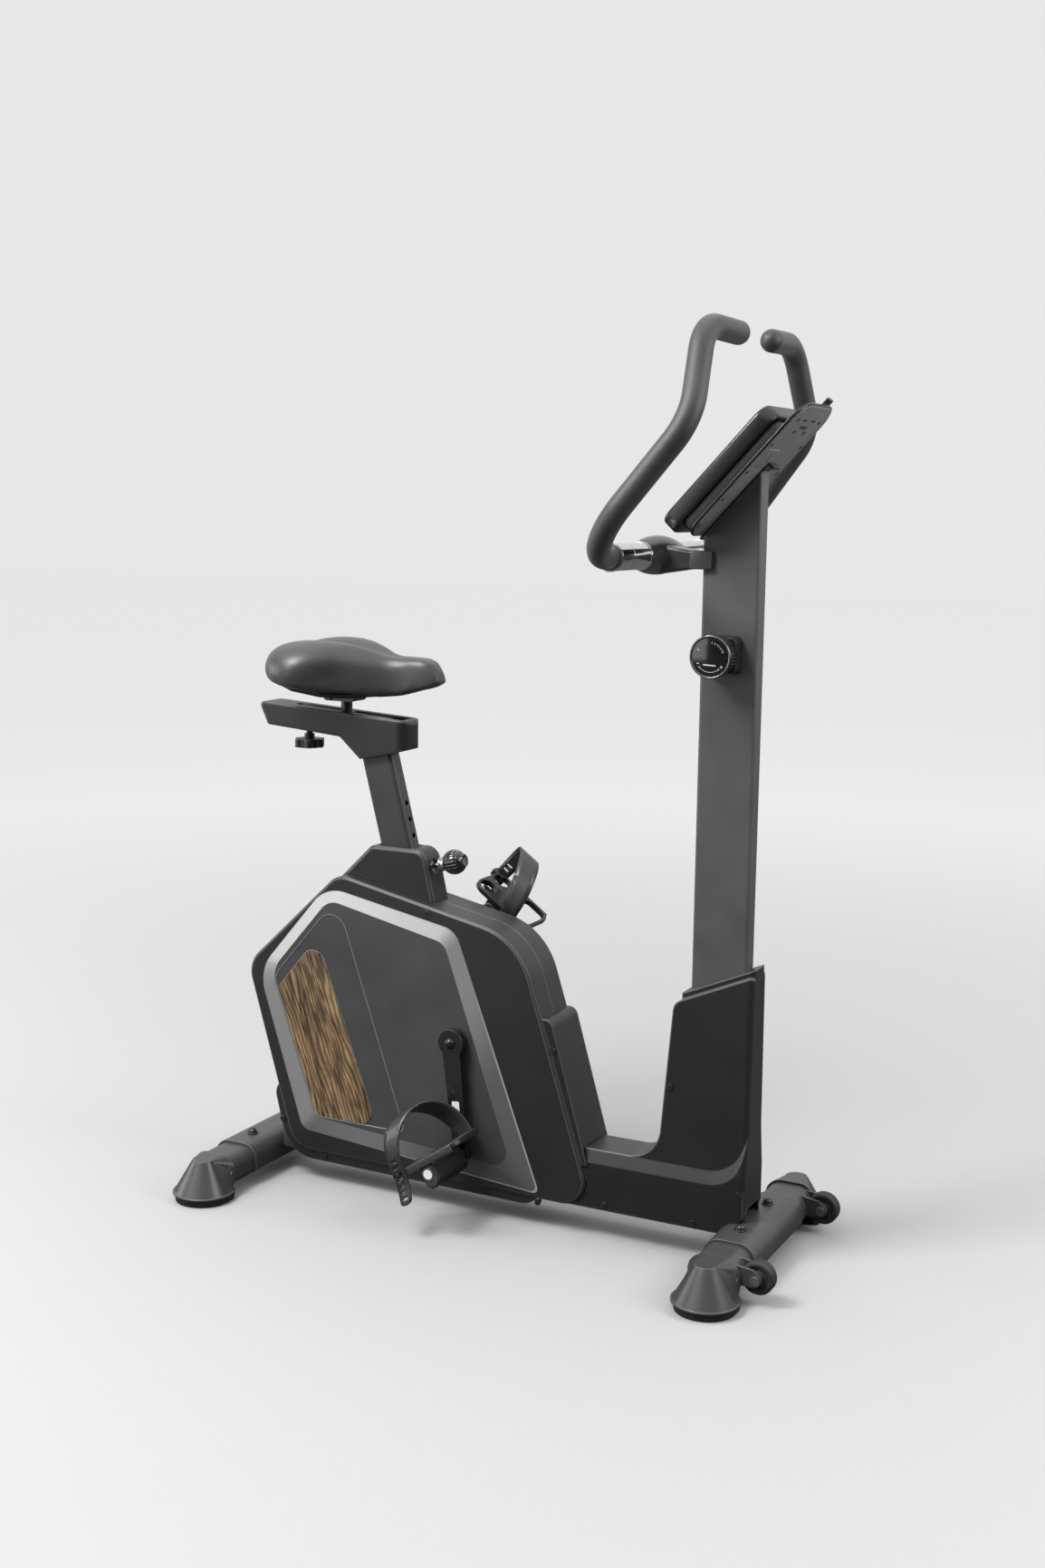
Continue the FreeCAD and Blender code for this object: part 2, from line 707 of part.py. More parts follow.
def cableEnd():
    a = math.radians(52)
    return V(flywheelX + (magnetRadius + 22) * math.cos(a), 0,
             flywheelZ + (magnetRadius + 22) * math.sin(a))


def tensionCable():
    """Bowden cable from the knob, down the column and back to the brake."""
    end = cableEnd()
    sideY = -(seatSectionWidth / 2 + seatTubeWall + 6)
    points = [(knobX(), 0, knobZ() - 24), (knobX(), 0, railTop + 21),
              (columnRear - 120, 0, railTop + 21), (postBaseX + 30, sideY, railTop + 19),
              (flywheelX + 96, sideY, railTop + 19), (end.x + 34, -34, end.z - 60),
              (end.x + 16, -34, end.z + 4)]
    path = roundedPath(points, [28, 150, 150, 30, 60])
    return sweepRound(path, 2.5)


# ----------------------------------------------------------------- covers

def shroudCorners():
    return [(shroudRear + 88, 52, 46), (crankX + 232.5, 46, 38), (crankX + 102.5, 448, 110),
            (crankX - 219, 515, 38), (shroudRear, 350, 45)]


def panelEdge():
    """Outer edge of the trim band, flush with the shroud."""
    return [(crankX - 286.5, 86.5, 20), (crankX + 144.5, 54, 8), (crankX - 5.5, 449, 36),
            (crankX - 239.5, 493.5, 60), (crankX - 369.5, 340.5, 66)]


def fieldEdge():
    """Inner edge of the trim band, where the raised flat field starts."""
    return [(crankX - 258.5, 113.5, 14), (crankX + 100.5, 86, 24), (crankX - 21.5, 428, 26),
            (crankX - 231.5, 473.5, 34), (crankX - 341, 345, 45)]


def subPanelCorners():
    """Shallow step inside the field."""
    return [(crankX - 257.3, 114.6, 13), (crankX - 90.5, 114.6, 8), (crankX - 216.5, 477, 28),
            (crankX - 336.4, 336.7, 30)]


def insertCorners():
    return [(crankX - 256.2, 115.6, 12), (crankX - 142.5, 115.6, 20), (crankX - 253.7, 408.8, 22),
            (crankX - 327.5, 320.5, 8)]


def postOpening():
    depth = seatSectionDepth + 2 * seatTubeWall + 3
    width = seatSectionWidth + 2 * seatTubeWall + 3
    return leanAboutPost(uprightOval(depth, width, 9, -200, 200), 500)


def shroudHalf(side):
    """One moulded half shell with a rounded edge and a screw flange below."""
    corners = shroudCorners()
    h = shroudHalfWidth
    edge = 3.0
    wide = loopWire(corners, "xz", h - edge)
    narrow = loopWire(corners, "xz", h).makeOffset2D(-edge)
    block = Part.Face(loopWire(corners, "xz", 0.1)).extrude(V(0, h - edge - 0.1, 0))
    chamfer = Part.makeLoft([wide, narrow], True, True)
    body = block.fuse(chamfer)
    cavity = offsetPrism(corners, "xz", 0.0, h - coverWall, -coverWall)
    body = body.cut(cavity)
    flange = offsetPrism([(shroudRear + 88, 52, 46), (crankX + 150, 48, 20), (crankX + 120, 90, 5),
                          (shroudRear + 64, 150, 10)], "xz", h - 7.0, h - 4.0, 15.0)
    flange = flange.cut(offsetPrism(corners, "xz", h - 10, h, -coverWall / 2))
    for x, z in flangeHoles():
        flange = flange.cut(rodY(3.2, x, h - 12, h, z))
    body = body.fuse(flange)
    body = body.cut(rodY(17, crankX, 0, h + 5, crankZ))
    body = body.cut(postOpening())
    body = body.cut(mainRailClearance())
    for x, z in capHoles():
        body = body.cut(rodY(3.2, x, h - 6, h + 5, z))
    body = max(body.Solids, key=lambda s: s.Volume)
    return body if side > 0 else mirrored(body)


def flangeHoles():
    return ((shroudRear + 66.5, 96.0), (shroudRear + 146.5, 43.0), (crankX + 140, 40.5))


def capHoles():
    return ((crankX - 60, 486.0),)


def mainRailClearance():
    w = railWidth / 2 + 1.5
    rail = box(-halfLength, halfLength, -w, w, railBottom - 30, railTop + 1.5)
    return rail.fuse(box(crankX + 190, crankX + 240, -14, 14, railTop, railTop + 36))


def sidePanel(side):
    """Raised panel: a sloping metallic band around a flat field with a pocket."""
    h = shroudHalfWidth
    base = loopWire(panelEdge(), "xz", h + 0.05)
    top = loopWire(fieldEdge(), "xz", h + panelRise)
    body = Part.makeLoft([base, top], True, True)
    body = body.cut(plateBetween(subPanelCorners(), "xz", h + panelRise - 1.0, h + panelRise + 5))
    body = body.cut(plateBetween(insertCorners(), "xz", h + panelRise - 3.2, h + panelRise + 5))
    body = body.cut(rodY(17, crankX, 0, h + 20, crankZ))
    return body if side > 0 else mirrored(body)


def woodInsert(side):
    h = shroudHalfWidth
    body = offsetPrism(insertCorners(), "xz", h + panelRise - 3.1, h + panelRise + 0.4, -0.3)
    return body if side > 0 else mirrored(body)


def frontFairing():
    """Channel-shaped cover in front of the shroud; its sides lap the base cover."""
    corners = [(crankX + 100, 326, 0), (crankX + 157, 330, 14), (crankX + 221, 112, 0),
               (crankX + 176, 112, 0)]
    inside = [(crankX + 90, 323, 0), (crankX + 154.5, 327, 11), (crankX + 222, 97, 0),
              (crankX + 90, 97, 0)]
    h = shroudHalfWidth - 4
    body = plateBetween(corners, "xz", -h, h).cut(plateBetween(inside, "xz", -h + 3, h - 3))
    body = body.cut(offsetPrism(shroudCorners(), "xz", -80, 80, 0.3))
    lap = baseHalfWidth + 0.4
    body = body.cut(box(baseRear - 1, baseFront, -lap, lap, 60, deckZ + 0.4))
    return max(body.Solids, key=lambda s: s.Volume)


def coverRise(x):
    """Height of the sloping top edge of the column cover."""
    return 379.0 + 0.433 * (x - columnRear + 20.8)


def deckSection(top):
    """Side outline of the low part, its deck at a given height."""
    return [(baseRear, 47, 0), (baseFront - 30, 47, 14), (baseFront, 78, 20), (baseFront, top + 60, 0),
            (baseFront - 1, top + 60, 0), (baseFront - 1, top, 59), (baseRear, top, 0)]


def towerSection(wall):
    """Side outline of the part that sweeps up around the column."""
    rear = baseRear + wall
    front = baseFront - wall
    return [(rear, 60, 0), (front, 60, 0), (front, coverRise(front) - wall, 5 - wall / 2),
            (columnRear - 21 + wall, 379 - wall, 18 - wall), (columnRear - 39 + wall, deckZ - wall, 50 + wall),
            (rear, deckZ - wall, 4 - wall)]


def towerEnvelope(wall):
    """Drafted block that narrows the tower toward its top."""
    rings = []
    for z, half in ((40, 35.6), (460, 26.6)):
        rings.append(loopWire(rectCorners(baseRear - 40, baseFront - wall, -half + wall, half - wall,
                                          8 - wall), "xy", z))
    return Part.makeLoft(rings, True, True)


def lowEnvelope():
    """Rounded block that draws the low part in toward the tower's front edge."""
    rings = []
    for z, half in ((39.0, baseHalfWidth), (deckZ, baseHalfWidth), (deckZ + 60.5, 32.24)):
        rings.append(loopWire(rectCorners(baseRear - 40, baseFront, -half, half, 8), "xy", z))
    return Part.makeLoft(rings, True, True)


def baseCover():
    """Low moulded body over the rail front that sweeps up around the column."""
    b = baseHalfWidth
    inner = b - 8
    core = plateBetween(deckSection(deckZ), "xz", -inner, inner)
    shoulder = Part.makeLoft([loopWire(deckSection(deckZ), "xz", inner),
                              loopWire(deckSection(deckZ - 19), "xz", b)], True, True)
    tower = plateBetween(towerSection(0.0), "xz", -b, b).common(towerEnvelope(0.0))
    body = core.fuse([shoulder, mirrored(shoulder)]).common(lowEnvelope()).fuse(tower)
    low = [(baseRear + 3, 20, 0), (baseFront - 34.3, 20, 0), (baseFront - 34.3, 47, 0),
           (baseFront - 3, 79, 0)]
    for half, top in ((b - 3, deckZ - 22), (inner - 3, deckZ - 3)):
        body = body.cut(plateBetween(low + [(baseFront - 3, top, 0), (baseRear + 3, top, 0)],
                                     "xz", -half, half))
    body = body.cut(plateBetween(towerSection(3.0), "xz", -b, b).common(towerEnvelope(3.0)))
    plate = stabiliserCorners(frontFootX, saddlePlate + 0.6)
    body = body.cut(plateBetween(plate, "xz", -200, 200))
    rail = railWidth / 2 + 0.5
    body = body.cut(box(baseRear - 5, frontFootX, -rail, rail, 0, railTop + 0.5))
    body = body.cut(offsetPrism(shroudCorners(), "xz", -80, 80, 0.4))
    body = body.fuse(columnCollar())
    body = body.cut(columnClearance())
    return max(body.Solids, key=lambda s: s.Volume)


def columnClearance():
    return plateBetween(rectCorners(columnRear - 0.4, columnFront + 0.4, -columnWidth / 2 - 0.4,
                                    columnWidth / 2 + 0.4, 4.5), "xy", 60, 600)


def columnCollar():
    """Second, narrower step that closes the cover around the column."""
    x0 = columnRear - 12.5
    x1 = columnFront + 15.4
    ring = plateBetween(rectCorners(x0, x1, -22, 22, 7), "xy", 340, 520)
    a0 = x0 - 60
    a1 = x1 + 60
    band = Part.Face(Part.makePolygon([V(a0, -90, coverRise(a0) - 6), V(a1, -90, coverRise(a1) - 6),
                                       V(a1, -90, coverRise(a1) + 10), V(a0, -90, coverRise(a0) + 10),
                                       V(a0, -90, coverRise(a0) - 6)])).extrude(V(0, 180, 0))
    return ring.common(band)


def towerCorners():
    return [(crankX - 225, 480, 0), (crankX - 124, 470, 0), (crankX - 50, 450, 0), (crankX - 76, 562, 22),
            (crankX - 171, 562, 14), (crankX - 238, 496, 0)]


def seatTowerCover():
    """Moulded hood over the top of the seat tube."""
    h = 25.0
    edge = 4.0
    wide = loopWire(towerCorners(), "xz", h - edge)
    narrow = loopWire(towerCorners(), "xz", h).makeOffset2D(-edge)
    half = Part.Face(loopWire(towerCorners(), "xz", 0)).extrude(V(0, h - edge, 0))
    half = half.fuse(Part.makeLoft([wide, narrow], True, True))
    body = half.fuse(mirrored(half))
    cavity = offsetPrism(towerCorners(), "xz", -h + 3, h - 3, -3)
    body = body.cut(cavity)
    body = body.cut(offsetPrism(shroudCorners(), "xz", -80, 80, 0.3))
    body = body.cut(leanAboutPost(uprightOval(postDepth + 5, postWidth + 5, 9, -30, 60), 540))
    body = body.cut(leanAboutPost(uprightOval(seatSectionDepth + 2 * seatTubeWall + 1,
                                              seatSectionWidth + 2 * seatTubeWall + 1, 9, -100, 8), 550))
    hole = Part.makeCylinder(10.2, 80, pinCentre(), pinAxis())
    body = body.cut(hole)
    return max(body.Solids, key=lambda s: s.Volume)


def pinAxis():
    a = math.radians(postLean)
    return V(math.cos(a), 0, math.sin(a))


def pinCentre():
    """Point on the post axis behind the locking pin."""
    return alongPost(pinHeight)


def postBushing():
    """Plastic sleeve with a flange at the mouth of the seat tube."""
    top = (tubeTopAlong - 500) / math.cos(math.radians(postLean))
    outer = uprightOval(seatSectionDepth - 0.04, seatSectionWidth - 0.04, 7, -60, top)
    flange = uprightOval(seatSectionDepth + 4, seatSectionWidth + 4, 9, top, top + 3)
    inner = uprightOval(postDepth + 2 * slideFit, postWidth + 2 * slideFit, 8, -80, top + 10)
    body = leanAboutPost(outer.fuse(flange).cut(inner), 500)
    hole = Part.makeCylinder(7.05, 80, pinCentre(), pinAxis())
    return body.cut(hole)


def popPinBarrel():
    """Threaded barrel screwed in the front of the seat tube."""
    a = pinAxis()
    start = pinCentre() + a * (postDepth / 2 + 0.3)
    barrel = Part.makeCylinder(7.0, 22, start, a)
    nut = Part.makeCylinder(10.0, 4, start + a * 18.0, a)
    body = barrel.fuse(nut)
    return body.cut(Part.makeCylinder(4 + runFit, 60, start - a * 5, a))


def popPin():
    """Spring pin with a ball knob, shown drawn just clear of the post."""
    a = pinAxis()
    start = pinCentre() + a * (postDepth / 2 + 0.4)
    rod = Part.makeCylinder(4.0, 53.6, start, a)
    ball = Part.makeSphere(20.0, start + a * 61.6, a, -90, 90, 360)
    neck = Part.makeCylinder(9, 10, start + a * 38.6, a)
    ball = ball.common(Part.makeCylinder(30, 35.8, start + a * 45.6, a))
    return rod.fuse([ball, neck])


# ------------------------------------------------------- post and slider

def seatPost():
    """Flat-sided oval tube with a row of pin holes down its front."""
    length = (postTopAlong - postBottomAlong) / math.cos(math.radians(postLean))
    outer = uprightOval(postDepth, postWidth, 8, 0, length)
    inner = uprightOval(postDepth - 2 * postWall, postWidth - 2 * postWall, 6, -1, length + 1)
    tube = leanAboutPost(outer.cut(inner), postBottomAlong)
    a = pinAxis()
    step = holePitch * math.cos(math.radians(postLean))
    for i in range(-5, 5):
        place = alongPost(pinHeight + i * step)
        tube = tube.cut(Part.makeCylinder(4.5, 60, place, a))
    return tube


def sliderCorners():
    x = sliderX
    return [(x - 202.5, 778, 6), (x - 185.5, 741, 5), (x - 50, 730, 12), (x - 13, 697, 4),
            (x + 59, 713, 5), (x + 72, 717, 12), (x + 73.5, 761, 10)]


def sliderHousing():
    """Tapered housing on the post; the saddle carriage runs in its slot."""
    x = sliderX
    body = plateBetween(sliderCorners(), "xz", -25, 25)
    plan = plateBetween([(x - 220, -25, 8), (x + 72, -25, 20), (x + 72, 25, 20), (x - 220, 25, 8)],
                        "xy", 650, 800)
    body = body.common(plan)
    body = body.cut(box(x - 175, x + 60, -18, 18, 747, 763))
    body = body.cut(plateBetween(rectCorners(x - 145, x + 50, -9.2, 9.2, 8.5), "xy", 755, 800))
    socket = uprightOval(postDepth + 0.5, postWidth + 0.5, 8, -80, 26)
    body = body.cut(leanAboutPost(socket, 697))
    body = body.cut(rodZ(5 + runFit, knobAxisX(), 0, 700, 748))
    return max(body.Solids, key=lambda solid: solid.Volume)


def knobAxisX():
    return sliderX - 122.6


def sliderKnob():
    """Lobed hand knob under the housing with a threaded stud."""
    x = knobAxisX()
    core = rodZ(20, x, 0, 706, 720)
    for i in range(6):
        a = math.radians(60 * i)
        core = core.fuse(rodZ(7, x + 18 * math.cos(a), 18 * math.sin(a), 706.5, 719.5))
    neck = rodZ(8, x, 0, 719, 728)
    stud = rodZ(5, x, 0, 727, 746)
    return core.fuse([neck, stud])


def stemX():
    return sliderX - 52.5


def saddleStem():
    """Carriage bar in the slot, a short round stem and the clamp block."""
    x = stemX()
    bar = box(x - 48, x + 48, -17.9, 17.9, 747.1, 762.9)
    neck = box(x - 13, x + 13, -9, 9, 762, 768)
    stem = rodZ(9, x, 0, 767, 790)
    clamp = plateBetween([(x - 31, 785, 5), (x + 24, 785, 5), (x + 24, 795, 2), (x - 31, 795, 2)],
                         "xz", -19, 19)
    bolt = rodY(4, x - 20, -24, 24, 790)
    return bar.fuse([neck, stem, clamp, bolt])


# ----------------------------------------------------------------- saddle

def saddleSections():
    """Rows of (share of length from the tail, half width, bottom, top)."""
    w = saddleWidth / 2
    return ((0.0, 0.45 * w, 829, 850), (0.045, 0.78 * w, 818, 871), (0.18, w, 809, 881),
            (0.36, 0.96 * w, 802, 881), (0.50, 0.68 * w, 800, 876), (0.64, 0.42 * w, 804, 868),
            (0.79, 0.28 * w, 813, 860), (0.92, 0.23 * w, 822, 855), (1.0, 0.12 * w, 829, 842))


def saddleX(share):
    """Place along the saddle, by share of its length from the tail."""
    return stemX() + 171.5 - saddleLength * (1 - share)


def saddleRing(share, half, low, high):
    x = saddleX(share)
    h = high - low
    pts = [V(x, 0, low), V(x, 0.6 * half, low), V(x, 0.93 * half, low + 0.06 * h),
           V(x, half, low + 0.36 * h), V(x, 0.9 * half, low + 0.72 * h),
           V(x, 0.62 * half, low + 0.96 * h), V(x, 0.3 * half, high), V(x, 0, high - 0.02 * h)]
    back = [V(p.x, -p.y, p.z) for p in reversed(pts[1:-1])]
    curve = Part.BSplineCurve()
    curve.interpolate(pts + back, PeriodicFlag=True)
    return Part.Wire(curve.toShape())


def saddle():
    """Wide padded saddle, one closed skin."""
    return Part.makeLoft([saddleRing(*row) for row in saddleSections()], True, False)


def saddleBase():
    """Thin moulded pan that follows the underside of the saddle."""
    wires = []
    for share, half, low, high in saddleSections()[1:-1]:
        x = saddleX(share)
        a = 0.62 * half
        wires.append(Part.makePolygon([V(x, -a, low + 3), V(x, a, low + 3), V(x, a - 3, low - 7),
                                       V(x, -a + 3, low - 7), V(x, -a, low + 3)]))
    cushion = saddle()
    cushion.translate(V(0, 0, -seatGap))
    pan = Part.makeLoft(wires, True, True).cut(cushion)
    x = stemX()
    pan = pan.cut(box(x - 45, x + 45, -40, 40, 770, 795.3))
    return max(pan.Solids, key=lambda s: s.Volume)


# -------------------------------------------------------------- handlebar

def barX():
    return columnRear - 76.0


def barCorners(startY, endY):
    """Corner points of one side of the handlebar, between two places across."""
    x = barX()
    s = elbowSpread / 2
    top = V(x + 133, s - 89, barZ + 304)
    tip = V(x + 139, s - 203, barZ + 301)
    end = top + (tip - top) * ((top.y - endY) / (top.y - tip.y))
    return [(x, startY, barZ), (x, s, barZ), (x + 143, s - 26, barZ + 180), tuple(top), tuple(end)]


def barSweep(startY, endY, r):
    return sweepRound(roundedPath(barCorners(startY, endY), [82, 88, 59]), r)


def handlebarTube():
    """One bent tube: crossbar, rising grips, tops turned in toward each other."""
    side = barSweep(0.0, 72.0, barRadius)
    return side.fuse(mirrored(side)).removeSplitter()


def grip(side):
    """Foam sleeve from the crossbar round the elbow to its domed end."""
    body = barSweep(168.0, 68.0, gripRadius)
    before, last = barCorners(168.0, 68.0)[-2:]
    end = dome(gripRadius, V(*last), V(*last) - V(*before))
    collar = rodY(gripRadius + 1.5, barX(), 164.3, 168.5, barZ)
    body = body.fuse([end, collar])
    body = body.cut(barSweep(150.0, 71.8, barRadius + 0.15))
    return body if side > 0 else mirrored(body)


def sensor(side):
    """Polished hand-pulse sleeve with a raised ring at each end and a split."""
    x = barX()
    y0, y1 = 60.2, 164.0
    body = rodY(sensorRadius, x, y0, y1, barZ)
    for y in (y0, y1 - 3):
        body = body.fuse(rodY(sensorRadius + 1.0, x, y, y + 3, barZ))
    split = rodY(sensorRadius + 5, x, 121, 122.2, barZ).cut(rodY(sensorRadius - 1.2, x, 120, 123, barZ))
    body = body.cut(split)
    body = body.cut(rodY(barRadius + 0.15, x, y0 - 1, y1 + 1, barZ))
    return body if side > 0 else mirrored(body)


def handlebarClamp():
    """Barrel-shaped cover on the crossbar with a bracket that straddles the column."""
    x = barX()
    end, r0, r1 = 59.7, 28.0, 19.8
    bulge = Part.Arc(V(x, -end, barZ + r1), V(x, 0, barZ + r0), V(x, end, barZ + r1)).toShape()
    sides = Part.makePolygon([V(x, end, barZ + r1), V(x, end, barZ), V(x, -end, barZ),
                              V(x, -end, barZ + r1)])
    barrel = Part.Face(Part.Wire([bulge] + sides.Edges)).revolve(V(x, 0, barZ), V(0, 1, 0), 360)
    taper = Part.makeLoft([loopWire(rectCorners(-24, 24, clampZ - 21, clampZ + 21, 6), "yz", x + 10),
                           loopWire(rectCorners(-22, 22, clampZ - 13.2, clampZ + 13.2, 4), "yz",
                                    columnRear - 18)], True, True)
    block = plateBetween(rectCorners(-22, 22, clampZ - 13, clampZ + 13, 3), "yz", columnRear - 19,
                         columnRear + 15)
    body = barrel.fuse([taper, block])
    body = body.cut(rodY(barRadius + 0.15, x, -end - 1, end + 1, barZ))
    body = body.cut(box(columnRear - 0.2, columnRear + 60, -columnWidth / 2 - 0.2,
                        columnWidth / 2 + 0.2, clampZ - 60, clampZ + 60))
    for z in (clampZ - 7, clampZ + 7):
        body = body.cut(rodY(3.2, columnRear + 9, -40, 40, z))
    return max(body.Solids, key=lambda s: s.Volume)


# ---------------------------------------------------------------- console

def consoleShell():
    """Rider-side housing with a recessed window and key well."""
    half = 72.0
    body = plateBetween([(0, -half, 16), (215, -half, 22), (215, half, 22), (0, half, 16)],
                        "xy", -27, -3)
    top = loopWire([(0, -half, 16), (215, -half, 22), (215, half, 22), (0, half, 16)], "xy", -3)
    inner = loopWire([(0, -half, 16), (215, -half, 22), (215, half, 22), (0, half, 16)],
                     "xy", 0).makeOffset2D(-3)
    body = body.fuse(Part.makeLoft([top, inner], True, True))
    window = plateBetween(rectCorners(112, 186, -48, 48, 6), "xy", -2.5, 5)
    well = rodZ(11.4, 62, 0, -9, 5)
    return placeOnConsole(body.cut(window).cut(well))


def consoleButton():
    cap = rodZ(11, 62, 0, -5, 1.5)
    return placeOnConsole(cap.makeFillet(1.0, [cap.Edges[0]]))


def consoleBack():
    """Rear tray, taller than the housing, with a lip around its top."""
    half = 72.0
    plate = plateBetween([(8, -half, 12), (242, -half, 26), (242, half, 26), (8, half, 12)],
                         "xy", -36, -29.5)
    neck = plateBetween(rectCorners(14, 206, -half + 6, half - 6, 12), "xy", -29.6, -27.05)
    lip = plateBetween([(160, -half, 0), (242, -half, 26), (242, half, 26), (160, half, 0)],
                       "xy", -29.6, -13)
    lip = lip.cut(plateBetween([(100, -half + 4, 0), (236, -half + 4, 22), (236, half - 4, 22),
                                (100, half - 4, 0)], "xy", -40, 0))
    lip = lip.cut(box(100, 219, -100, 100, -40, 0))
    tab = box(236, 255, 32, 44, -28, -22)
    return placeOnConsole(plate.fuse([neck, lip, tab]))


def consoleBracket():
    """Folded steel plate that joins the console to the cut top of the column."""
    plate = plateBetween(rectCorners(4, 150, -13, 13, 4), "xy", -39.2, -36.05)
    lip = box(146, 150, -13, 13, -48, -37)
    body = plate.fuse(lip)
    for u in (22.0, 120.0):
        body = body.fuse(rodZ(4, u, 0, -43, -38))
    return placeOnConsole(body)


# ------------------------------------------------------------------- knob

def knobX():
    return columnRear + 35.0


def knobZ():
    return columnHeight - 258.0


def knobBase():
    """Rounded-square foot of the resistance knob, tapered outward."""
    x, z = knobX(), knobZ()
    big = loopWire(rectCorners(x - 28, x + 28, z - 27, z + 27, 8), "xz", -columnWidth / 2 - 0.05)
    small = loopWire(rectCorners(x - 26, x + 26, z - 25, z + 25, 8), "xz", -columnWidth / 2 - 20)
    body = Part.makeLoft([big, small], True, True)
    ferrule = rodZ(4.5, x, 0, z - 24, z - 3).fuse(rodY(5.5, x, -columnWidth / 2 - 1, 0, z))
    return body.fuse(ferrule).cut(rodY(4 + runFit, x, -60, -columnWidth / 2 - 3, z))


def tensionKnob():
    """Ribbed round knob on a short spindle."""
    x, z = knobX(), knobZ()
    y0 = -columnWidth / 2 - 52
    y1 = -columnWidth / 2 - 20.6
    body = rodY(28.6, x, y0 + 3, y1, z)
    body = body.fuse(rodY(30.5, x, y0, y0 + 7, z))
    ribs = []
    for i in range(24):
        a = math.radians(15 * i)
        rib = box(27.5, 30.2, y0 + 6, y1, -1.4, 1.4)
        rib.rotate(V(0, 0, 0), V(0, 1, 0), math.degrees(a))
        rib.translate(V(x, 0, z))
        ribs.append(rib)
    body = body.fuse(ribs)
    body = body.cut(rodY(26.5, x, y0 - 1, y0 + 1.2, z))
    pointer = box(x - 1.2, x + 1.2, y0 + 0.4, y0 + 2, z + 14, z + 22)
    spindle = rodY(4, x, y1 - 1, -columnWidth / 2 - 4, z)
    return body.fuse([spindle, pointer])


# ----------------------------------------------------------------- screws

def coverScrews():
    """Pan-head screws that hold the covers."""
    screws = []
    h = shroudHalfWidth
    for x, z in flangeHoles():
        for side in (-1, 1):
            head = rodY(5, x, h - 3.98, h - 1.5, z).fuse(rodY(2.6, x, h - 12, h - 3, z))
            screws.append(head if side > 0 else mirrored(head))
    for x, y, z in baseScrews():
        for side in (-1, 1):
            head = rodY(4.5, x, y + 0.02, y + 2, z)
            screws.append(head if side > 0 else mirrored(head))
    return Part.makeCompound(screws)


def baseScrews():
    """Places along the base, on the tower and on the fairing."""
    b = baseHalfWidth
    return ((columnRear - 120, b, 55.0), (columnRear + 23, b, 55.0), (columnRear + 92, b, 110.0),
            (columnRear - 22, 31.2, 252.0), (crankX + 163, shroudHalfWidth - 4, 283.0))


# ------------------------------------------------------------------ build

def build():
    return {
        "main_rail": mainRail(),
        "seat_tube": seatTube(),
        "column": column(),
        "front_stabiliser": drillBoltHoles(frontStabiliser(), frontFootX),
        "rear_stabiliser": drillBoltHoles(stabiliserTube(rearFootX), rearFootX),
        "stabiliser_bolts": stabiliserBolts(),
        "foot_cap_front_right": footCap(frontFootX, -1),
        "foot_cap_front_left": footCap(frontFootX, 1),
        "foot_cap_rear_right": footCap(rearFootX, -1),
        "foot_cap_rear_left": footCap(rearFootX, 1),
        "foot_pads": footPads(),
        "transport_wheel_right": transportWheel(-1),
        "transport_wheel_left": transportWheel(1),
        "wheel_bolts": wheelBolts(),
        "crank_bearings": crankBearings(),
        "flywheel_mount": flywheelMount(),
        "shroud_right": shroudHalf(-1),
        "shroud_left": shroudHalf(1),
        "side_panel_right": sidePanel(-1),
        "side_panel_left": sidePanel(1),
        "wood_insert_right": woodInsert(-1),
        "wood_insert_left": woodInsert(1),
        "front_fairing": frontFairing(),
        "base_cover": baseCover(),
        "seat_tower_cover": seatTowerCover(),
        "post_bushing": postBushing(),
        "pop_pin_barrel": popPinBarrel(),
        "pop_pin": popPin(),
        "seat_post": seatPost(),
        "slider_housing": sliderHousing(),
        "slider_knob": sliderKnob(),
        "saddle_stem": saddleStem(),
        "saddle_base": saddleBase(),
        "saddle": saddle(),
        "crank_axle": crankAxle(),
        "crank_arm_right": crankArm(-1),
        "crank_arm_left": crankArm(1),
        "pedal_spindles": pedalSpindles(),
        "pedal_right": pedal(-1),
        "pedal_left": pedal(1),
        "pedal_strap_right": pedalStrap(-1),
        "pedal_strap_left": pedalStrap(1),
        "drive_pulley": drivePulley(),
        "drive_belt": driveBelt(),
        "flywheel": flywheel(),
        "magnet_bracket": magnetBracket(),
        "tension_cable": tensionCable(),
        "handlebar": handlebarTube(),
        "handlebar_clamp": handlebarClamp(),
        "grip_right": grip(-1),
        "grip_left": grip(1),
        "sensor_right": sensor(-1),
        "sensor_left": sensor(1),
        "console_shell": consoleShell(),
        "console_button": consoleButton(),
        "console_back": consoleBack(),
        "console_bracket": consoleBracket(),
        "knob_base": knobBase(),
        "tension_knob": tensionKnob(),
        "cover_screws": coverScrews(),
    }


for name, shape in build().items():
    shape.exportStep("parts/" + name + ".step")
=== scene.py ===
import bpy
import json
import math
from mathutils import Matrix, Vector


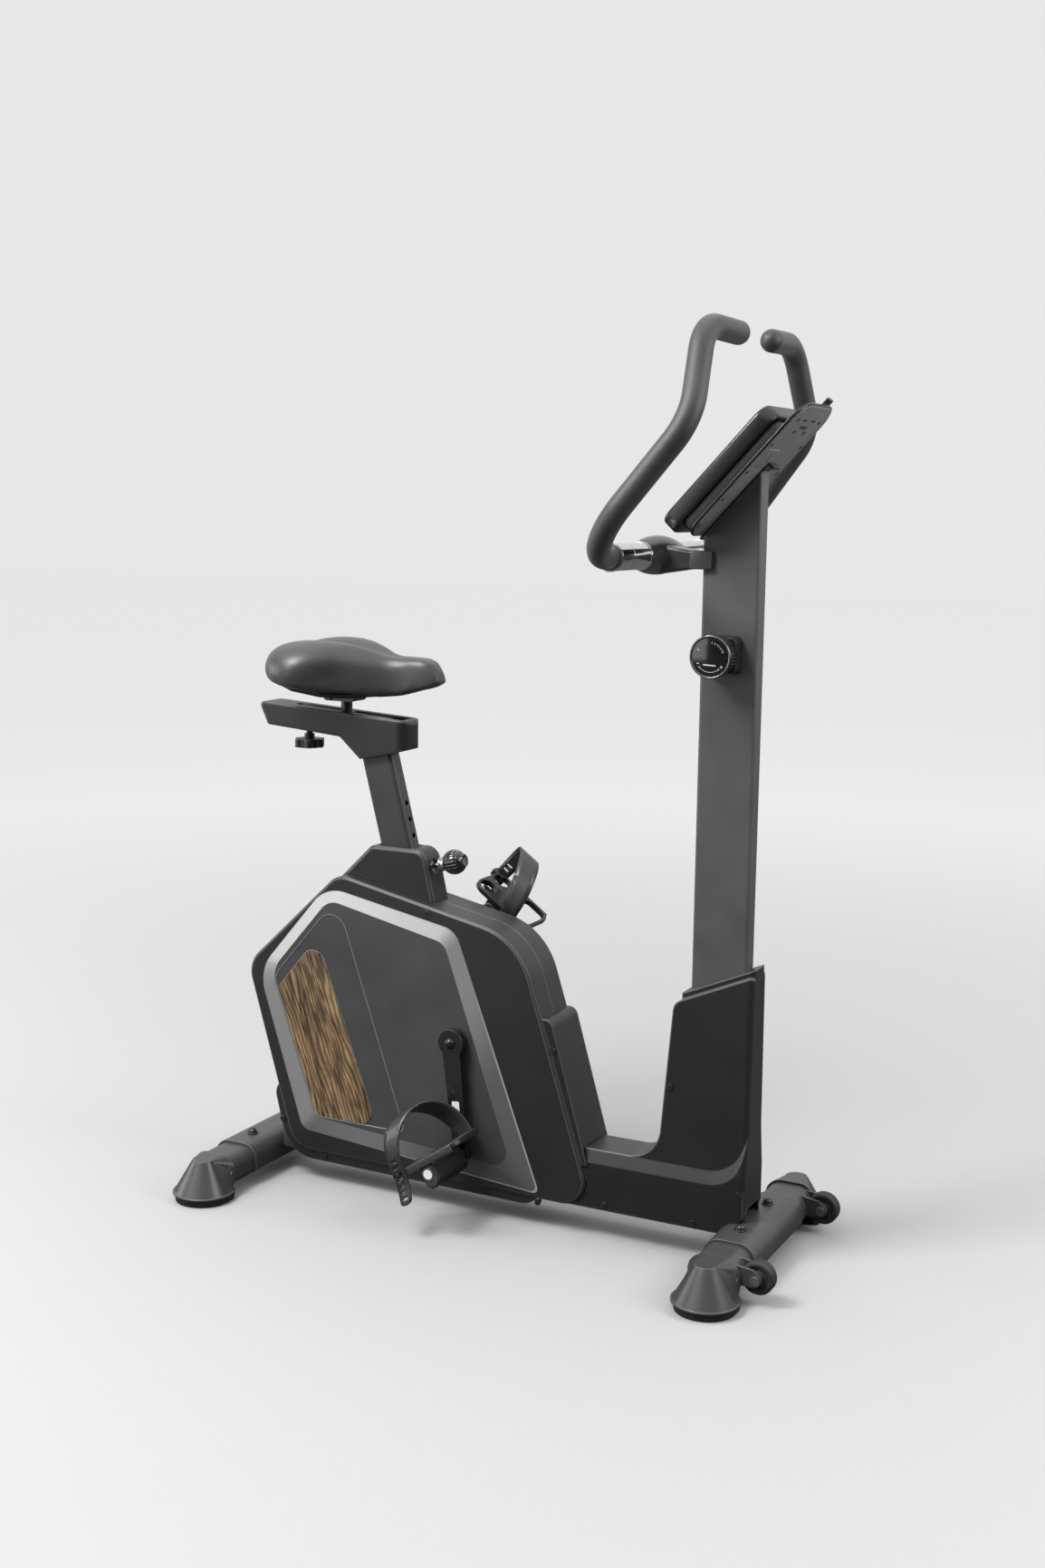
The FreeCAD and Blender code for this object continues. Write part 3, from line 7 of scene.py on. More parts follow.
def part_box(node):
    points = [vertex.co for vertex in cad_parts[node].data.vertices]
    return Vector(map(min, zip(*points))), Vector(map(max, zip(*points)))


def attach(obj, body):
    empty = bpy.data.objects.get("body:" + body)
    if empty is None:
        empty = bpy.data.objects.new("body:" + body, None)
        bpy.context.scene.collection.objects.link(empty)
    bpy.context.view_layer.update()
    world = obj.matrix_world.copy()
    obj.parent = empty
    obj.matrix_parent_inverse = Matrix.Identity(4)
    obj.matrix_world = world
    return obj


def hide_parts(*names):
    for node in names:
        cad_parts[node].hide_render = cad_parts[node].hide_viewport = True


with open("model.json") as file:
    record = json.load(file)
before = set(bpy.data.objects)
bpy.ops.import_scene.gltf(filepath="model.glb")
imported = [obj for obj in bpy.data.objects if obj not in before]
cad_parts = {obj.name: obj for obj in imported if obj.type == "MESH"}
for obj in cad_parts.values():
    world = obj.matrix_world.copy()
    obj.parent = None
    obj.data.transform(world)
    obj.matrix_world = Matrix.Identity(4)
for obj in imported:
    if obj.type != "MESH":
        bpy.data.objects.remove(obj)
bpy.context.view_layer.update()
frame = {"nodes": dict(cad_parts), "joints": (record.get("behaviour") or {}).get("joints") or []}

# Upright exercise bike in metres: +X is the way the rider faces, +Y the rider's left, the floor is z = 0.
cadNodes = frame["nodes"]
joints = {joint["name"]: joint for joint in frame["joints"]}
scene = bpy.context.scene
samePlace = 0.000001  # points closer than this count as one
acrossTurn = (math.pi / 2, 0, 0)  # lays a primitive's axis across the machine


def clearSelection():
    if bpy.context.object and bpy.context.object.mode != "OBJECT":
        bpy.ops.object.mode_set(mode="OBJECT")
    bpy.ops.object.select_all(action="DESELECT")


def makeActive(obj):
    clearSelection()
    obj.select_set(True)
    bpy.context.view_layer.objects.active = obj
    return obj


def newPiece(name):
    obj = bpy.context.object
    obj.name = name
    obj.data.name = name
    return obj


def applyPlace(obj):  # leaves the piece at the origin, with its place in its mesh
    makeActive(obj)
    bpy.ops.object.transform_apply(location=True, rotation=True, scale=True)
    return obj


def applyModifiers(obj):
    makeActive(obj)
    for modifier in list(obj.modifiers):
        bpy.ops.object.modifier_apply(modifier=modifier.name)
    return obj


def addBevel(obj, width, segments=3, angle=40):
    modifier = obj.modifiers.new("Edges", "BEVEL")
    modifier.width = width
    modifier.segments = segments
    modifier.limit_method = "ANGLE"
    modifier.angle_limit = math.radians(angle)
    modifier.harden_normals = False
    return obj


def outward(obj):  # merges doubles and turns every face outward
    makeActive(obj)
    bpy.ops.object.mode_set(mode="EDIT")
    bpy.ops.mesh.select_all(action="SELECT")
    bpy.ops.mesh.remove_doubles(threshold=0.00001)
    bpy.ops.mesh.normals_make_consistent(inside=False)
    bpy.ops.object.mode_set(mode="OBJECT")
    return obj


def smooth(obj, angle=35):
    makeActive(obj)
    bpy.ops.object.shade_smooth_by_angle(angle=math.radians(angle))
    return obj


def joinPieces(name, parts):
    clearSelection()
    for part in parts:
        part.select_set(True)
    bpy.context.view_layer.objects.active = parts[0]
    bpy.ops.object.join()
    return newPiece(name)


def finishPiece(obj, body, material, replaced=()):
    applyPlace(obj)
    obj.data.materials.clear()
    obj.data.materials.append(material)
    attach(obj, body)
    if replaced:
        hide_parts(*replaced)
    return obj


def deselectMesh(obj, mode):
    makeActive(obj)
    bpy.ops.object.mode_set(mode="EDIT")
    bpy.ops.mesh.select_mode(type=mode)
    bpy.ops.mesh.select_all(action="DESELECT")
    bpy.ops.object.mode_set(mode="OBJECT")


def pickFaces(obj, wanted):  # leaves the piece in edit mode with the wanted faces selected
    deselectMesh(obj, "FACE")
    for polygon in obj.data.polygons:
        polygon.select = wanted(polygon)
    bpy.ops.object.mode_set(mode="EDIT")


def pickEdges(obj, wanted):
    deselectMesh(obj, "EDGE")
    points = obj.data.vertices
    for edge in obj.data.edges:
        edge.select = wanted(points[edge.vertices[0]].co, points[edge.vertices[1]].co)
    bpy.ops.object.mode_set(mode="EDIT")


def sinkFaces(obj, wanted, *steps):  # each step insets the picked faces, then moves them
    pickFaces(obj, wanted)
    for inset, move in steps:
        bpy.ops.mesh.inset(thickness=inset)
        bpy.ops.mesh.extrude_region_move(TRANSFORM_OT_translate={"value": move})
    bpy.ops.object.mode_set(mode="OBJECT")


def addCylinder(place, radius, depth, vertices, turn=(0, 0, 0), squash=1):
    clearSelection()
    bpy.ops.mesh.primitive_cylinder_add(vertices=vertices, radius=radius, depth=depth, location=place,
                                        rotation=turn)
    bpy.context.object.scale.x = squash
    return applyPlace(bpy.context.object)


def addRod(start, end, radius, vertices=32):
    way = end - start
    turn = way.to_track_quat("Z", "Y").to_euler()
    return addCylinder((start + end) / 2, radius, way.length, vertices, turn)


def addBlock(place, size, turn=(0, 0, 0)):
    clearSelection()
    bpy.ops.mesh.primitive_cube_add(size=1, location=place, rotation=turn)
    block = bpy.context.object
    block.scale = size
    return applyPlace(block)


def softSlab(name, low, high, corner, edge, cornerSteps=8, edgeSteps=4):  # box with rounded outline and edges
    slab = addBlock([(a + b) / 2 for a, b in zip(low, high)], [b - a for a, b in zip(low, high)])
    newPiece(name)
    pickEdges(slab, lambda a, b: abs(a.z - b.z) > 0.0001)
    bpy.ops.mesh.bevel(offset=corner, segments=cornerSteps)
    bpy.ops.object.mode_set(mode="OBJECT")
    pickEdges(slab, lambda a, b: any(abs(a.z - level) < samePlace and abs(b.z - level) < samePlace
                                     for level in (low[2], high[2])))
    bpy.ops.mesh.bevel(offset=edge, segments=edgeSteps)
    bpy.ops.object.mode_set(mode="OBJECT")
    return slab


def cutAway(obj, cutters):
    cutter = joinPieces("cutter", cutters)
    outward(cutter)
    outward(obj)
    cut = obj.modifiers.new("Openings", "BOOLEAN")
    cut.operation = "DIFFERENCE"
    cut.object = cutter
    applyModifiers(obj)
    bpy.data.objects.remove(cutter, do_unlink=True)


# Finishes. A socket given as an input is linked, anything else is set as the input's own value.
def newMaterial(name):
    material = bpy.data.materials.new(name)
    material.use_nodes = True
    return material, material.node_tree, material.node_tree.nodes["Principled BSDF"]


def fillInputs(tree, node, inputs):
    for name, value in inputs.items():
        if isinstance(value, bpy.types.NodeSocket):
            tree.links.new(value, node.inputs[name])
        else:
            node.inputs[name].default_value = value


def addNode(tree, kind, inputs=(), **settings):
    node = tree.nodes.new("ShaderNode" + kind)
    for name, value in settings.items():
        setattr(node, name, value)
    fillInputs(tree, node, dict(inputs))
    return node


def maths(tree, operation, *values, kind="Math"):
    return addNode(tree, kind, dict(enumerate(values)), operation=operation).outputs["Value"]


def objectPlace(tree):
    return addNode(tree, "TexCoord").outputs["Object"]


def noise(tree, place, scale, detail, distortion=0.0):
    return addNode(tree, "TexNoise", {"Vector": place, "Scale": scale, "Detail": detail,
                                      "Distortion": distortion}).outputs["Fac"]


def remap(tree, value, start=0.0, end=1.0, low=0.0, high=1.0, steps="LINEAR"):
    return addNode(tree, "MapRange", {"Value": value, "From Min": start, "From Max": end, "To Min": low,
                                      "To Max": high}, interpolation_type=steps).outputs["Result"]


def ramp(tree, value, *stops):  # each stop is a position and a color, in order
    node = addNode(tree, "ValToRGB", {"Fac": value})
    elements = node.color_ramp.elements
    elements[0].position, elements[1].position = stops[0][0], stops[-1][0]
    for position, color in stops[1:-1]:
        elements.new(position)
    for element, (position, color) in zip(elements, stops):
        element.color = (*color, 1)
    return node.outputs["Color"]


def mixColors(tree, share, first, second, blend="MIX"):
    node = addNode(tree, "Mix", {0: share, 6: first, 7: second}, data_type="RGBA", blend_type=blend)
    return node.outputs[2]


def sourceOf(shader, name):
    return shader.inputs[name].links[0].from_socket


def grey(value):
    return (value, value, value)


finishBase = {"coatRoughness": 0.12, "roughSpread": 0.06, "mottleDetail": 5, "grainDetail": 3,
              "grainDepth": 0.0004, "edgeSamples": 6}
# colour of the painted edge highlight, made from the finish's own colour
edgeHighlightColor = {"gain": 2.5, "lift": 0.10, "limit": 0.9}


# The last argument sets how strongly the painted edge highlight shows.
def finish(name, color, roughness, metallic=0.0, coat=0.0, grainScale=900, grain=0.15, mottleScale=14,
           mottle=0.12, edge=0.0012, sheen=0.0, edgeHighlight=0.6):
    material, tree, shader = newMaterial(name)
    place = objectPlace(tree)
    patches = noise(tree, place, mottleScale, finishBase["mottleDetail"])
    spread = finishBase["roughSpread"]
    bump = addNode(tree, "Bump", {"Height": noise(tree, place, grainScale, finishBase["grainDetail"]),
                                  "Strength": grain, "Distance": finishBase["grainDepth"]})
    fillInputs(tree, shader, {
        "Base Color": ramp(tree, patches, (0.3, [c * (1 - mottle) for c in color]),
                           (0.7, [min(1, c * (1 + mottle)) for c in color])),
        "Roughness": remap(tree, patches, low=roughness - spread, high=roughness + spread),
        "Metallic": metallic, "Coat Weight": coat, "Coat Roughness": finishBase["coatRoughness"],
        "Sheen Weight": sheen, "Normal": bump.outputs["Normal"]})
    # the bevel rounds the shading of every edge, and a paler painted highlight line runs along it
    if edge:
        rounding = addNode(tree, "Bevel", {"Radius": edge}, samples=finishBase["edgeSamples"])
        tree.links.new(rounding.outputs["Normal"], bump.inputs["Normal"])
        addWornEdge(tree, shader, rounding.outputs["Normal"], color, edgeHighlight)
    return material


def addWornEdge(tree, shader, rounding, color, edgeHighlight, start=0.996, end=0.955):  # painted highlight: paler lines where faces meet, standing in for light caught on the edges
    flat = addNode(tree, "NewGeometry").outputs["Normal"]
    meeting = maths(tree, "DOT_PRODUCT", rounding, flat, kind="VectorMath")
    highlightColor = [min(edgeHighlightColor["limit"], c * edgeHighlightColor["gain"] + edgeHighlightColor["lift"]) for c in color]
    mixed = mixColors(tree, remap(tree, meeting, start, end, high=edgeHighlight), sourceOf(shader, "Base Color"),
                      (*highlightColor, 1))
    tree.links.new(mixed, shader.inputs["Base Color"])


# The edge-line share given to each finish below paints a highlight along its edges.
columnPaint = finish("columnPaint", grey(0.072), 0.40, grainScale=1400, grain=0.25, edge=0.002)
postPaint = finish("postPaint", grey(0.028), 0.38, grainScale=1400, grain=0.25, edge=0.0025)
tubePaint = finish("tubePaint", grey(0.042), 0.40, grainScale=1400, grain=0.25, edge=0.0015)
blackSteel = finish("blackSteel", grey(0.012), 0.33, coat=0.2, edge=0.001)
coverPlastic = finish("coverPlastic", grey(0.013), 0.38, grainScale=2200, grain=0.35, edge=0.0032, edgeHighlight=0.8)
footPlastic = finish("footPlastic", grey(0.034), 0.32, grainScale=1800, grain=0.2, edge=0.0015)
blackPlastic = finish("blackPlastic", grey(0.008), 0.40, grainScale=2000, grain=0.3, edge=0.0015)
glossBlack = finish("glossBlack", grey(0.007), 0.18, coat=0.5, grain=0.03, mottle=0.05, edge=0.001)
shellBlack = finish("shellBlack", grey(0.010), 0.28, grainScale=1500, grain=0.08, mottle=0.06, edgeHighlight=0.8)
backGrey = finish("backGrey", grey(0.15), 0.40, grainScale=2200, grain=0.2, edgeHighlight=0.9)
towerBlack = finish("towerBlack", grey(0.010), 0.38, grainScale=2200, grain=0.35, edge=0.004, edgeHighlight=0.75)
housingBlack = finish("housingBlack", grey(0.008), 0.38, grainScale=2200, grain=0.3, edge=0.007, edgeHighlight=0.5)
railGrey = finish("railGrey", grey(0.045), 0.34, grainScale=1800, grain=0.12, edge=0.0008, edgeHighlight=0.9)
clampBlack = finish("clampBlack", grey(0.034), 0.30, coat=0.2, grain=0.1, edge=0.001)
rubberBlack = finish("rubberBlack", grey(0.014), 0.62, grainScale=1200, grain=0.4, edge=0.0008)
foamBlack = finish("foamBlack", grey(0.030), 0.46, grainScale=1600, grain=0.7, mottle=0.2, edge=0, sheen=0.15)
boltSteel = finish("boltSteel", grey(0.35), 0.32, metallic=1.0, grainScale=700, grain=0.1, edge=0.0006,
                   edgeHighlight=0.2)
darkBolt = finish("darkBolt", grey(0.03), 0.3, metallic=0.6, grain=0.1, edge=0.0006)
chromePlate = finish("chromePlate", grey(0.75), 0.10, metallic=1.0, grain=0.02, mottle=0.03, edge=0.0006,
                     edgeHighlight=0.0)
castIron = finish("castIron", grey(0.12), 0.35, metallic=0.9, grainScale=300, grain=0.2)
satinRing = finish("satinRing", grey(0.26), 0.24, metallic=1.0, grain=0.02, mottle=0.03, edge=0)
brightSteel = finish("brightSteel", grey(0.60), 0.20, metallic=1.0, grainScale=700, grain=0.05, edge=0.0004,
                     edgeHighlight=0.0)
displayGlass = finish("displayGlass", grey(0.01), 0.06, coat=1.0, grain=0.0, mottle=0.05, edge=0)
strapRubber = finish("strapRubber", grey(0.02), 0.42, coat=0.15, edge=0.0006)
labelWhite = finish("labelWhite", grey(0.75), 0.5, grain=0.1, mottle=0.03, edge=0)
markWhite = finish("markWhite", grey(0.7), 0.4, grain=0.05, mottle=0.02, edge=0)

# The panel's band gets painted shade toward its lower front corner, and its edges get painted highlight
# lines.
panelLook = {"dark": 0.044, "silver": 0.40, "metal": 0.7, "bandRoughness": 0.34, "flat": 0.9965, "side": 0.5,
             "shadeWay": (1.0, 0.0, -0.6), "shadeStart": -0.33, "shadeEnd": -0.12, "shadeShare": 0.85,
             "edge": 0.0012, "edgeSamples": 8, "edgeHighlightTone": 0.10, "edgeHighlight": 0.9, "edgeHighlightSpan": (0.9985, 0.992)}


def panelFinish():  # silver on the sloping band, dark grey on every face that looks straight out
    material = finish("panelFinish", grey(panelLook["dark"]), 0.40, grainScale=2200, grain=0.3, edge=0)
    tree = material.node_tree
    shader = tree.nodes["Principled BSDF"]
    facing = addNode(tree, "NewGeometry").outputs["True Normal"]
    sideways = maths(tree, "ABSOLUTE", addNode(tree, "SeparateXYZ", {"Vector": facing}).outputs["Y"])
    dark = maths(tree, "MAXIMUM", maths(tree, "GREATER_THAN", sideways, panelLook["flat"]),
                 maths(tree, "LESS_THAN", sideways, panelLook["side"]))
    # painted shade: the band darkens and loses its silver toward its lower front corner
    toward = maths(tree, "DOT_PRODUCT", objectPlace(tree), panelLook["shadeWay"], kind="VectorMath")
    paintedShade = remap(tree, toward, panelLook["shadeStart"], panelLook["shadeEnd"], high=panelLook["shadeShare"],
                 steps="SMOOTHSTEP")
    darkFieldAndShade = maths(tree, "MAXIMUM", dark, paintedShade)
    roughness = addNode(tree, "Mix", {0: dark, 2: panelLook["bandRoughness"],
                                      3: sourceOf(shader, "Roughness")})
    fillInputs(tree, shader, {
        "Base Color": mixColors(tree, darkFieldAndShade, (*grey(panelLook["silver"]), 1), sourceOf(shader, "Base Color")),
        "Metallic": remap(tree, darkFieldAndShade, low=panelLook["metal"], high=0.0),
        "Roughness": roughness.outputs[0]})
    # painted highlight lines along the panel's edges
    rounding = addNode(tree, "Bevel", {"Radius": panelLook["edge"]}, samples=panelLook["edgeSamples"])
    addWornEdge(tree, shader, rounding.outputs["Normal"], grey(panelLook["edgeHighlightTone"]), panelLook["edgeHighlight"],
                *panelLook["edgeHighlightSpan"])
    return material


woodLook = {"turn": 20, "ringStretch": 0.24, "poreStretch": 0.05, "rings": 46, "wander": 16, "pores": 700,
            "streaks": 46, "streakWander": 1.4, "poreShare": 0.9, "roughness": 0.48, "relief": 0.25,
            "reliefDepth": 0.0003}


def woodFinish():  # brown oak print: long dark pores and wandering rings along the insert
    material, tree, shader = newMaterial("woodPrint")

    def mapped(place, **change):
        return addNode(tree, "Mapping", {"Vector": place, **change}).outputs["Vector"]

    turned = mapped(objectPlace(tree), Rotation=(0, math.radians(woodLook["turn"]), 0))
    stretched = mapped(turned, Scale=(1.0, 1.0, woodLook["ringStretch"]))
    pores = noise(tree, mapped(turned, Scale=(1.0, 1.0, woodLook["poreStretch"])), woodLook["pores"], 6)
    streaks = noise(tree, stretched, woodLook["streaks"], 3, woodLook["streakWander"])
    rings = addNode(tree, "TexWave", {"Vector": stretched, "Scale": woodLook["rings"], "Detail": 2.5,
                                      "Distortion": woodLook["wander"], "Detail Scale": 0.55},
                    bands_direction="X").outputs["Fac"]
    color = ramp(tree, rings, (0.0, (0.090, 0.060, 0.030)), (0.38, (0.21, 0.142, 0.075)),
                 (0.75, (0.29, 0.20, 0.108)))
    poreTone = ramp(tree, pores, (0.40, (0.42, 0.38, 0.34)), (0.56, (1, 1, 1)))
    streakTone = ramp(tree, streaks, (0.36, (0.30, 0.26, 0.22)), (0.60, (1.18, 1.12, 1.05)))
    color = mixColors(tree, woodLook["poreShare"], color, poreTone, "MULTIPLY")
    bump = addNode(tree, "Bump", {"Height": pores, "Strength": woodLook["relief"],
                                  "Distance": woodLook["reliefDepth"]})
    fillInputs(tree, shader, {"Base Color": mixColors(tree, 1.0, color, streakTone, "MULTIPLY"),
                              "Roughness": woodLook["roughness"], "Normal": bump.outputs["Normal"]})
    return material


vinylLook = {"pebbles": 620, "relief": 0.35, "reliefDepth": 0.0003}


def vinylFinish():  # padded saddle cover: fine pebble grain with a soft sheen
    material = finish("saddleVinyl", grey(0.034), 0.42, grainScale=1100, grain=0.0, mottleScale=9,
                      mottle=0.15, edge=0, sheen=0.1)
    tree = material.node_tree
    pebbles = addNode(tree, "TexVoronoi", {"Vector": objectPlace(tree), "Scale": vinylLook["pebbles"]})
    bump = addNode(tree, "Bump", {"Height": pebbles.outputs["Distance"], "Strength": vinylLook["relief"],
                                  "Distance": vinylLook["reliefDepth"]})
    tree.links.new(bump.outputs["Normal"], tree.nodes["Principled BSDF"].inputs["Normal"])
    return material


panelSkin = panelFinish()
woodPrint = woodFinish()
saddleVinyl = vinylFinish()

nodeFinish = {
    "main_rail": tubePaint, "seat_tube": blackSteel, "column": columnPaint,
    "front_stabiliser": tubePaint, "rear_stabiliser": tubePaint, "stabiliser_bolts": darkBolt,
    "foot_cap_front_right": footPlastic, "foot_cap_front_left": footPlastic,
    "foot_cap_rear_right": footPlastic, "foot_cap_rear_left": footPlastic,
    "foot_pads": rubberBlack, "transport_wheel_right": rubberBlack, "transport_wheel_left": rubberBlack,
    "wheel_bolts": boltSteel, "crank_bearings": boltSteel, "flywheel_mount": blackSteel,
    "shroud_right": coverPlastic, "shroud_left": coverPlastic,
    "side_panel_right": panelSkin, "side_panel_left": panelSkin,
    "wood_insert_right": woodPrint, "wood_insert_left": woodPrint,
    "front_fairing": towerBlack, "base_cover": towerBlack, "seat_tower_cover": towerBlack,
    "post_bushing": blackPlastic, "pop_pin_barrel": boltSteel, "pop_pin": glossBlack,
    "seat_post": postPaint, "slider_housing": housingBlack, "slider_knob": blackPlastic,
    "saddle_stem": blackSteel, "saddle_base": blackPlastic, "saddle": saddleVinyl,
    "crank_axle": darkBolt, "crank_arm_right": glossBlack, "crank_arm_left": glossBlack,
    "pedal_spindles": boltSteel, "pedal_right": blackPlastic, "pedal_left": blackPlastic,
    "pedal_strap_right": rubberBlack, "pedal_strap_left": rubberBlack,
    "drive_pulley": blackPlastic, "drive_belt": rubberBlack, "flywheel": castIron,
    "magnet_bracket": blackSteel, "tension_cable": rubberBlack, "handlebar": tubePaint,
    "handlebar_clamp": clampBlack, "grip_right": foamBlack, "grip_left": foamBlack,
    "sensor_right": chromePlate, "sensor_left": chromePlate, "console_shell": glossBlack,
    "console_button": blackPlastic, "console_back": coverPlastic, "console_bracket": blackSteel,
    "knob_base": blackPlastic, "tension_knob": glossBlack, "cover_screws": darkBolt,
}
for nodeName, material in nodeFinish.items():
    mesh = cadNodes[nodeName].data
    mesh.materials.clear()
    mesh.materials.append(material)
print("finishes are on the frame's nodes")


# Saddle cushion. Spans run along it, 0 at the back and 1 at the nose; levels are heights over its middle.
saddleShape = {
    "voxel": 0.005, "shrink": 0.003, "pressure": 1.0, "puffLimit": 0.007, "frames": 20, "softenSteps": 6,
    "groove": 0.011, "grooveWidth": 0.020, "grooveRear": (-0.05, 0.07), "grooveFront": (0.80, 0.55),
    "noseDrop": 0.012, "noseSpan": (0.50, 0.78), "noseBlunt": 0.012, "bluntFrom": 0.9,
    "noseRise": 0.006, "riseSpan": (0.80, 0.94), "neckDip": 0.004, "neck": (0.70, 0.09),
    "waist": 0.012, "waistPlace": (0.45, 0.10), "waistLevel": (-0.012, 0.024), "waistKeep": 0.02,
    "underLevel": (0.006, -0.014), "crownLevel": (-0.012, 0.012), "overhang": 0.002,
}


def share(value, start, end):  # 0 at the start, 1 at the end, held beyond them
    return max(0.0, min(1.0, (value - start) / (end - start)))


def hump(value, centre, width):
    return math.exp(-((value - centre) / width) ** 2)


def puffUp(cushion):  # a short cloth run under pressure, held near the first shape
    start = [v.co.copy() for v in cushion.data.vertices]
    cloth = cushion.modifiers.new("Padding", "CLOTH")
    cloth.settings.quality = 5
    cloth.settings.use_pressure = True
    cloth.settings.uniform_pressure_force = saddleShape["pressure"]
    cloth.settings.effector_weights.gravity = 0
    cloth.point_cache.frame_end = saddleShape["frames"]
    for step in range(1, saddleShape["frames"] + 1):
        scene.frame_set(step)
    applyModifiers(cushion)
    for vertex, before in zip(cushion.data.vertices, start):
        move = vertex.co - before
        if move.length > saddleShape["puffLimit"]:
            vertex.co = before + move * (saddleShape["puffLimit"] / move.length)
    scene.frame_set(1)


def shapeSaddle(cushion, low, high):  # centre groove, blunt drooping nose, raised tip, dip and waist
    shape = saddleShape
    middle = (low[2] + high[2]) / 2
    for vertex in cushion.data.vertices:
        x, y, z = vertex.co
        along = (x - low[0]) / (high[0] - low[0])
        lobes = share(along, *shape["grooveFront"]) * share(along, *shape["grooveRear"])
        z -= shape["groove"] * share(z, middle, high[2]) * lobes * hump(y, 0, shape["grooveWidth"])
        below = share(z - middle, *shape["underLevel"])
        z -= shape["noseDrop"] * share(along, *shape["noseSpan"]) * below
        x += shape["noseBlunt"] * max(0.0, (along - shape["bluntFrom"]) / (1 - shape["bluntFrom"])) * below
        z += share(z - middle, *shape["crownLevel"]) * (shape["noseRise"] * share(along, *shape["riseSpan"])
                                                        - shape["neckDip"] * hump(along, *shape["neck"]))
        if abs(y) > shape["waistKeep"]:
            inward = hump(along, *shape["waistPlace"]) * hump(z - middle, *shape["waistLevel"])
            y -= math.copysign(shape["waist"] * inward, y)
        vertex.co = (x, y, z)


def makeSaddle():
    source = cadNodes["saddle"]
    cushion = source.copy()
    cushion.data = source.data.copy()
    cushion.name = "saddle_cushion"
    scene.collection.objects.link(cushion)
    cushion.parent = None
    cushion.matrix_world = Matrix.Identity(4)
    outward(cushion)
    low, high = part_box("saddle")
    remesh = cushion.modifiers.new("Even", "REMESH")
    remesh.mode = "VOXEL"
    remesh.voxel_size = saddleShape["voxel"]
    applyModifiers(cushion)
    bpy.ops.object.mode_set(mode="EDIT")
    bpy.ops.mesh.select_all(action="SELECT")
    bpy.ops.transform.shrink_fatten(value=-saddleShape["shrink"])
    bpy.ops.object.mode_set(mode="OBJECT")
    puffUp(cushion)
    soften = cushion.modifiers.new("Soften", "SMOOTH")
    soften.factor = 0.5
    soften.iterations = saddleShape["softenSteps"]
    applyModifiers(cushion)
    shapeSaddle(cushion, low, high)
    cushion.modifiers.new("Round", "SUBSURF").levels = 1
    applyModifiers(cushion)
    spare = saddleShape["overhang"]
    for vertex in cushion.data.vertices:  # stays close to the frame's own box
        vertex.co = [max(low[i] - spare, min(high[i] + spare, vertex.co[i])) for i in range(3)]
    bpy.ops.object.shade_smooth()
    finishPiece(cushion, "saddle", saddleVinyl, ["saddle"])
    return cushion


makeSaddle()
print("saddle is padded")


# Resistance knob, turning on the column
knob = {
    "radius": 0.0305, "back": -0.0360, "flange": 0.0070, "flangeGap": 0.0001, "grips": 34,
    "gripHeight": 0.0016, "sleeveInset": 0.0022, "rim": 0.0030, "dish": 0.0010, "lip": 0.0006,
    "lipRise": 0.0004, "spindleY": -0.0275, "spindleLength": 0.0172, "spindleRadius": 0.004,
    "ringInset": 0.0016, "ringLift": 0.0002, "ringWidth": 0.0011, "bevel": 0.0004,
    "ink": 0.00016, "markLift": 0.00055, "numberHeight": 0.0042, "numberRing": 0.0200,
    "numbers": (107, 82, 70, 59, 49, 40, 31, 22),  # degrees round the face, from 1 up
    "ticks": 12, "tickStart": 226, "tickStep": 7, "tickSize": (0.0028, 0.0006), "markRing": 0.0213,
    "dots": (223, 308), "dotRadius": 0.0011,
    # printed bars: degrees and distance from the middle, length, height, turn
    "bars": ((151, 0.0203, 0.0042, 0.0014, 29), (208, 0.0203, 0.0034, 0.0013, 0),
             (322, 0.0215, 0.0038, 0.0013, 0), (322, 0.0215, 0.0013, 0.0038, 0),
             (266, 0.0115, 0.0185, 0.0018, 3)),
}
knobX, _, knobZ = joints["knob_turn"]["pos_m"]
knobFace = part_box("tension_knob")[0][1]


def onKnob(y, radius=0.0, angle=0.0):
    return Vector((knobX + radius * math.cos(angle), y, knobZ + radius * math.sin(angle)))


def makeKnobGrip():
    front, back = knobFace + knob["flange"], knob["back"]
    sleeve = addCylinder(onKnob((front + back) / 2), knob["radius"] - knob["sleeveInset"], back - front,
                         2 * knob["grips"], acrossTurn)

    def everySecond(polygon):
        angle = math.atan2(polygon.normal.z, polygon.normal.x) % (2 * math.pi)
        return abs(polygon.normal.y) <= 0.5 and round(angle / (math.pi / knob["grips"]) - 0.5) % 2 == 0

    pickFaces(sleeve, everySecond)
    bpy.ops.mesh.extrude_faces_move(TRANSFORM_OT_shrink_fatten={"value": -knob["gripHeight"]})
    bpy.ops.object.mode_set(mode="OBJECT")
    flange = addCylinder(onKnob(knobFace + knob["flange"] / 2 + knob["flangeGap"]), knob["radius"],
                         knob["flange"], 72, acrossTurn)
    sinkFaces(flange, lambda polygon: polygon.normal.y < -0.9, (knob["rim"], (0, knob["dish"], 0)),
              (knob["lip"], (0, -knob["lipRise"], 0)))
    spindle = addCylinder(onKnob(knob["spindleY"]), knob["spindleRadius"], knob["spindleLength"], 24,
                          acrossTurn)
    both = joinPieces("knob_body", [sleeve, flange, spindle])
    addBevel(both, knob["bevel"], 2, 30)
    applyModifiers(both)
    smooth(both, 30)
    finishPiece(both, "tension_knob", glossBlack, ["tension_knob"])


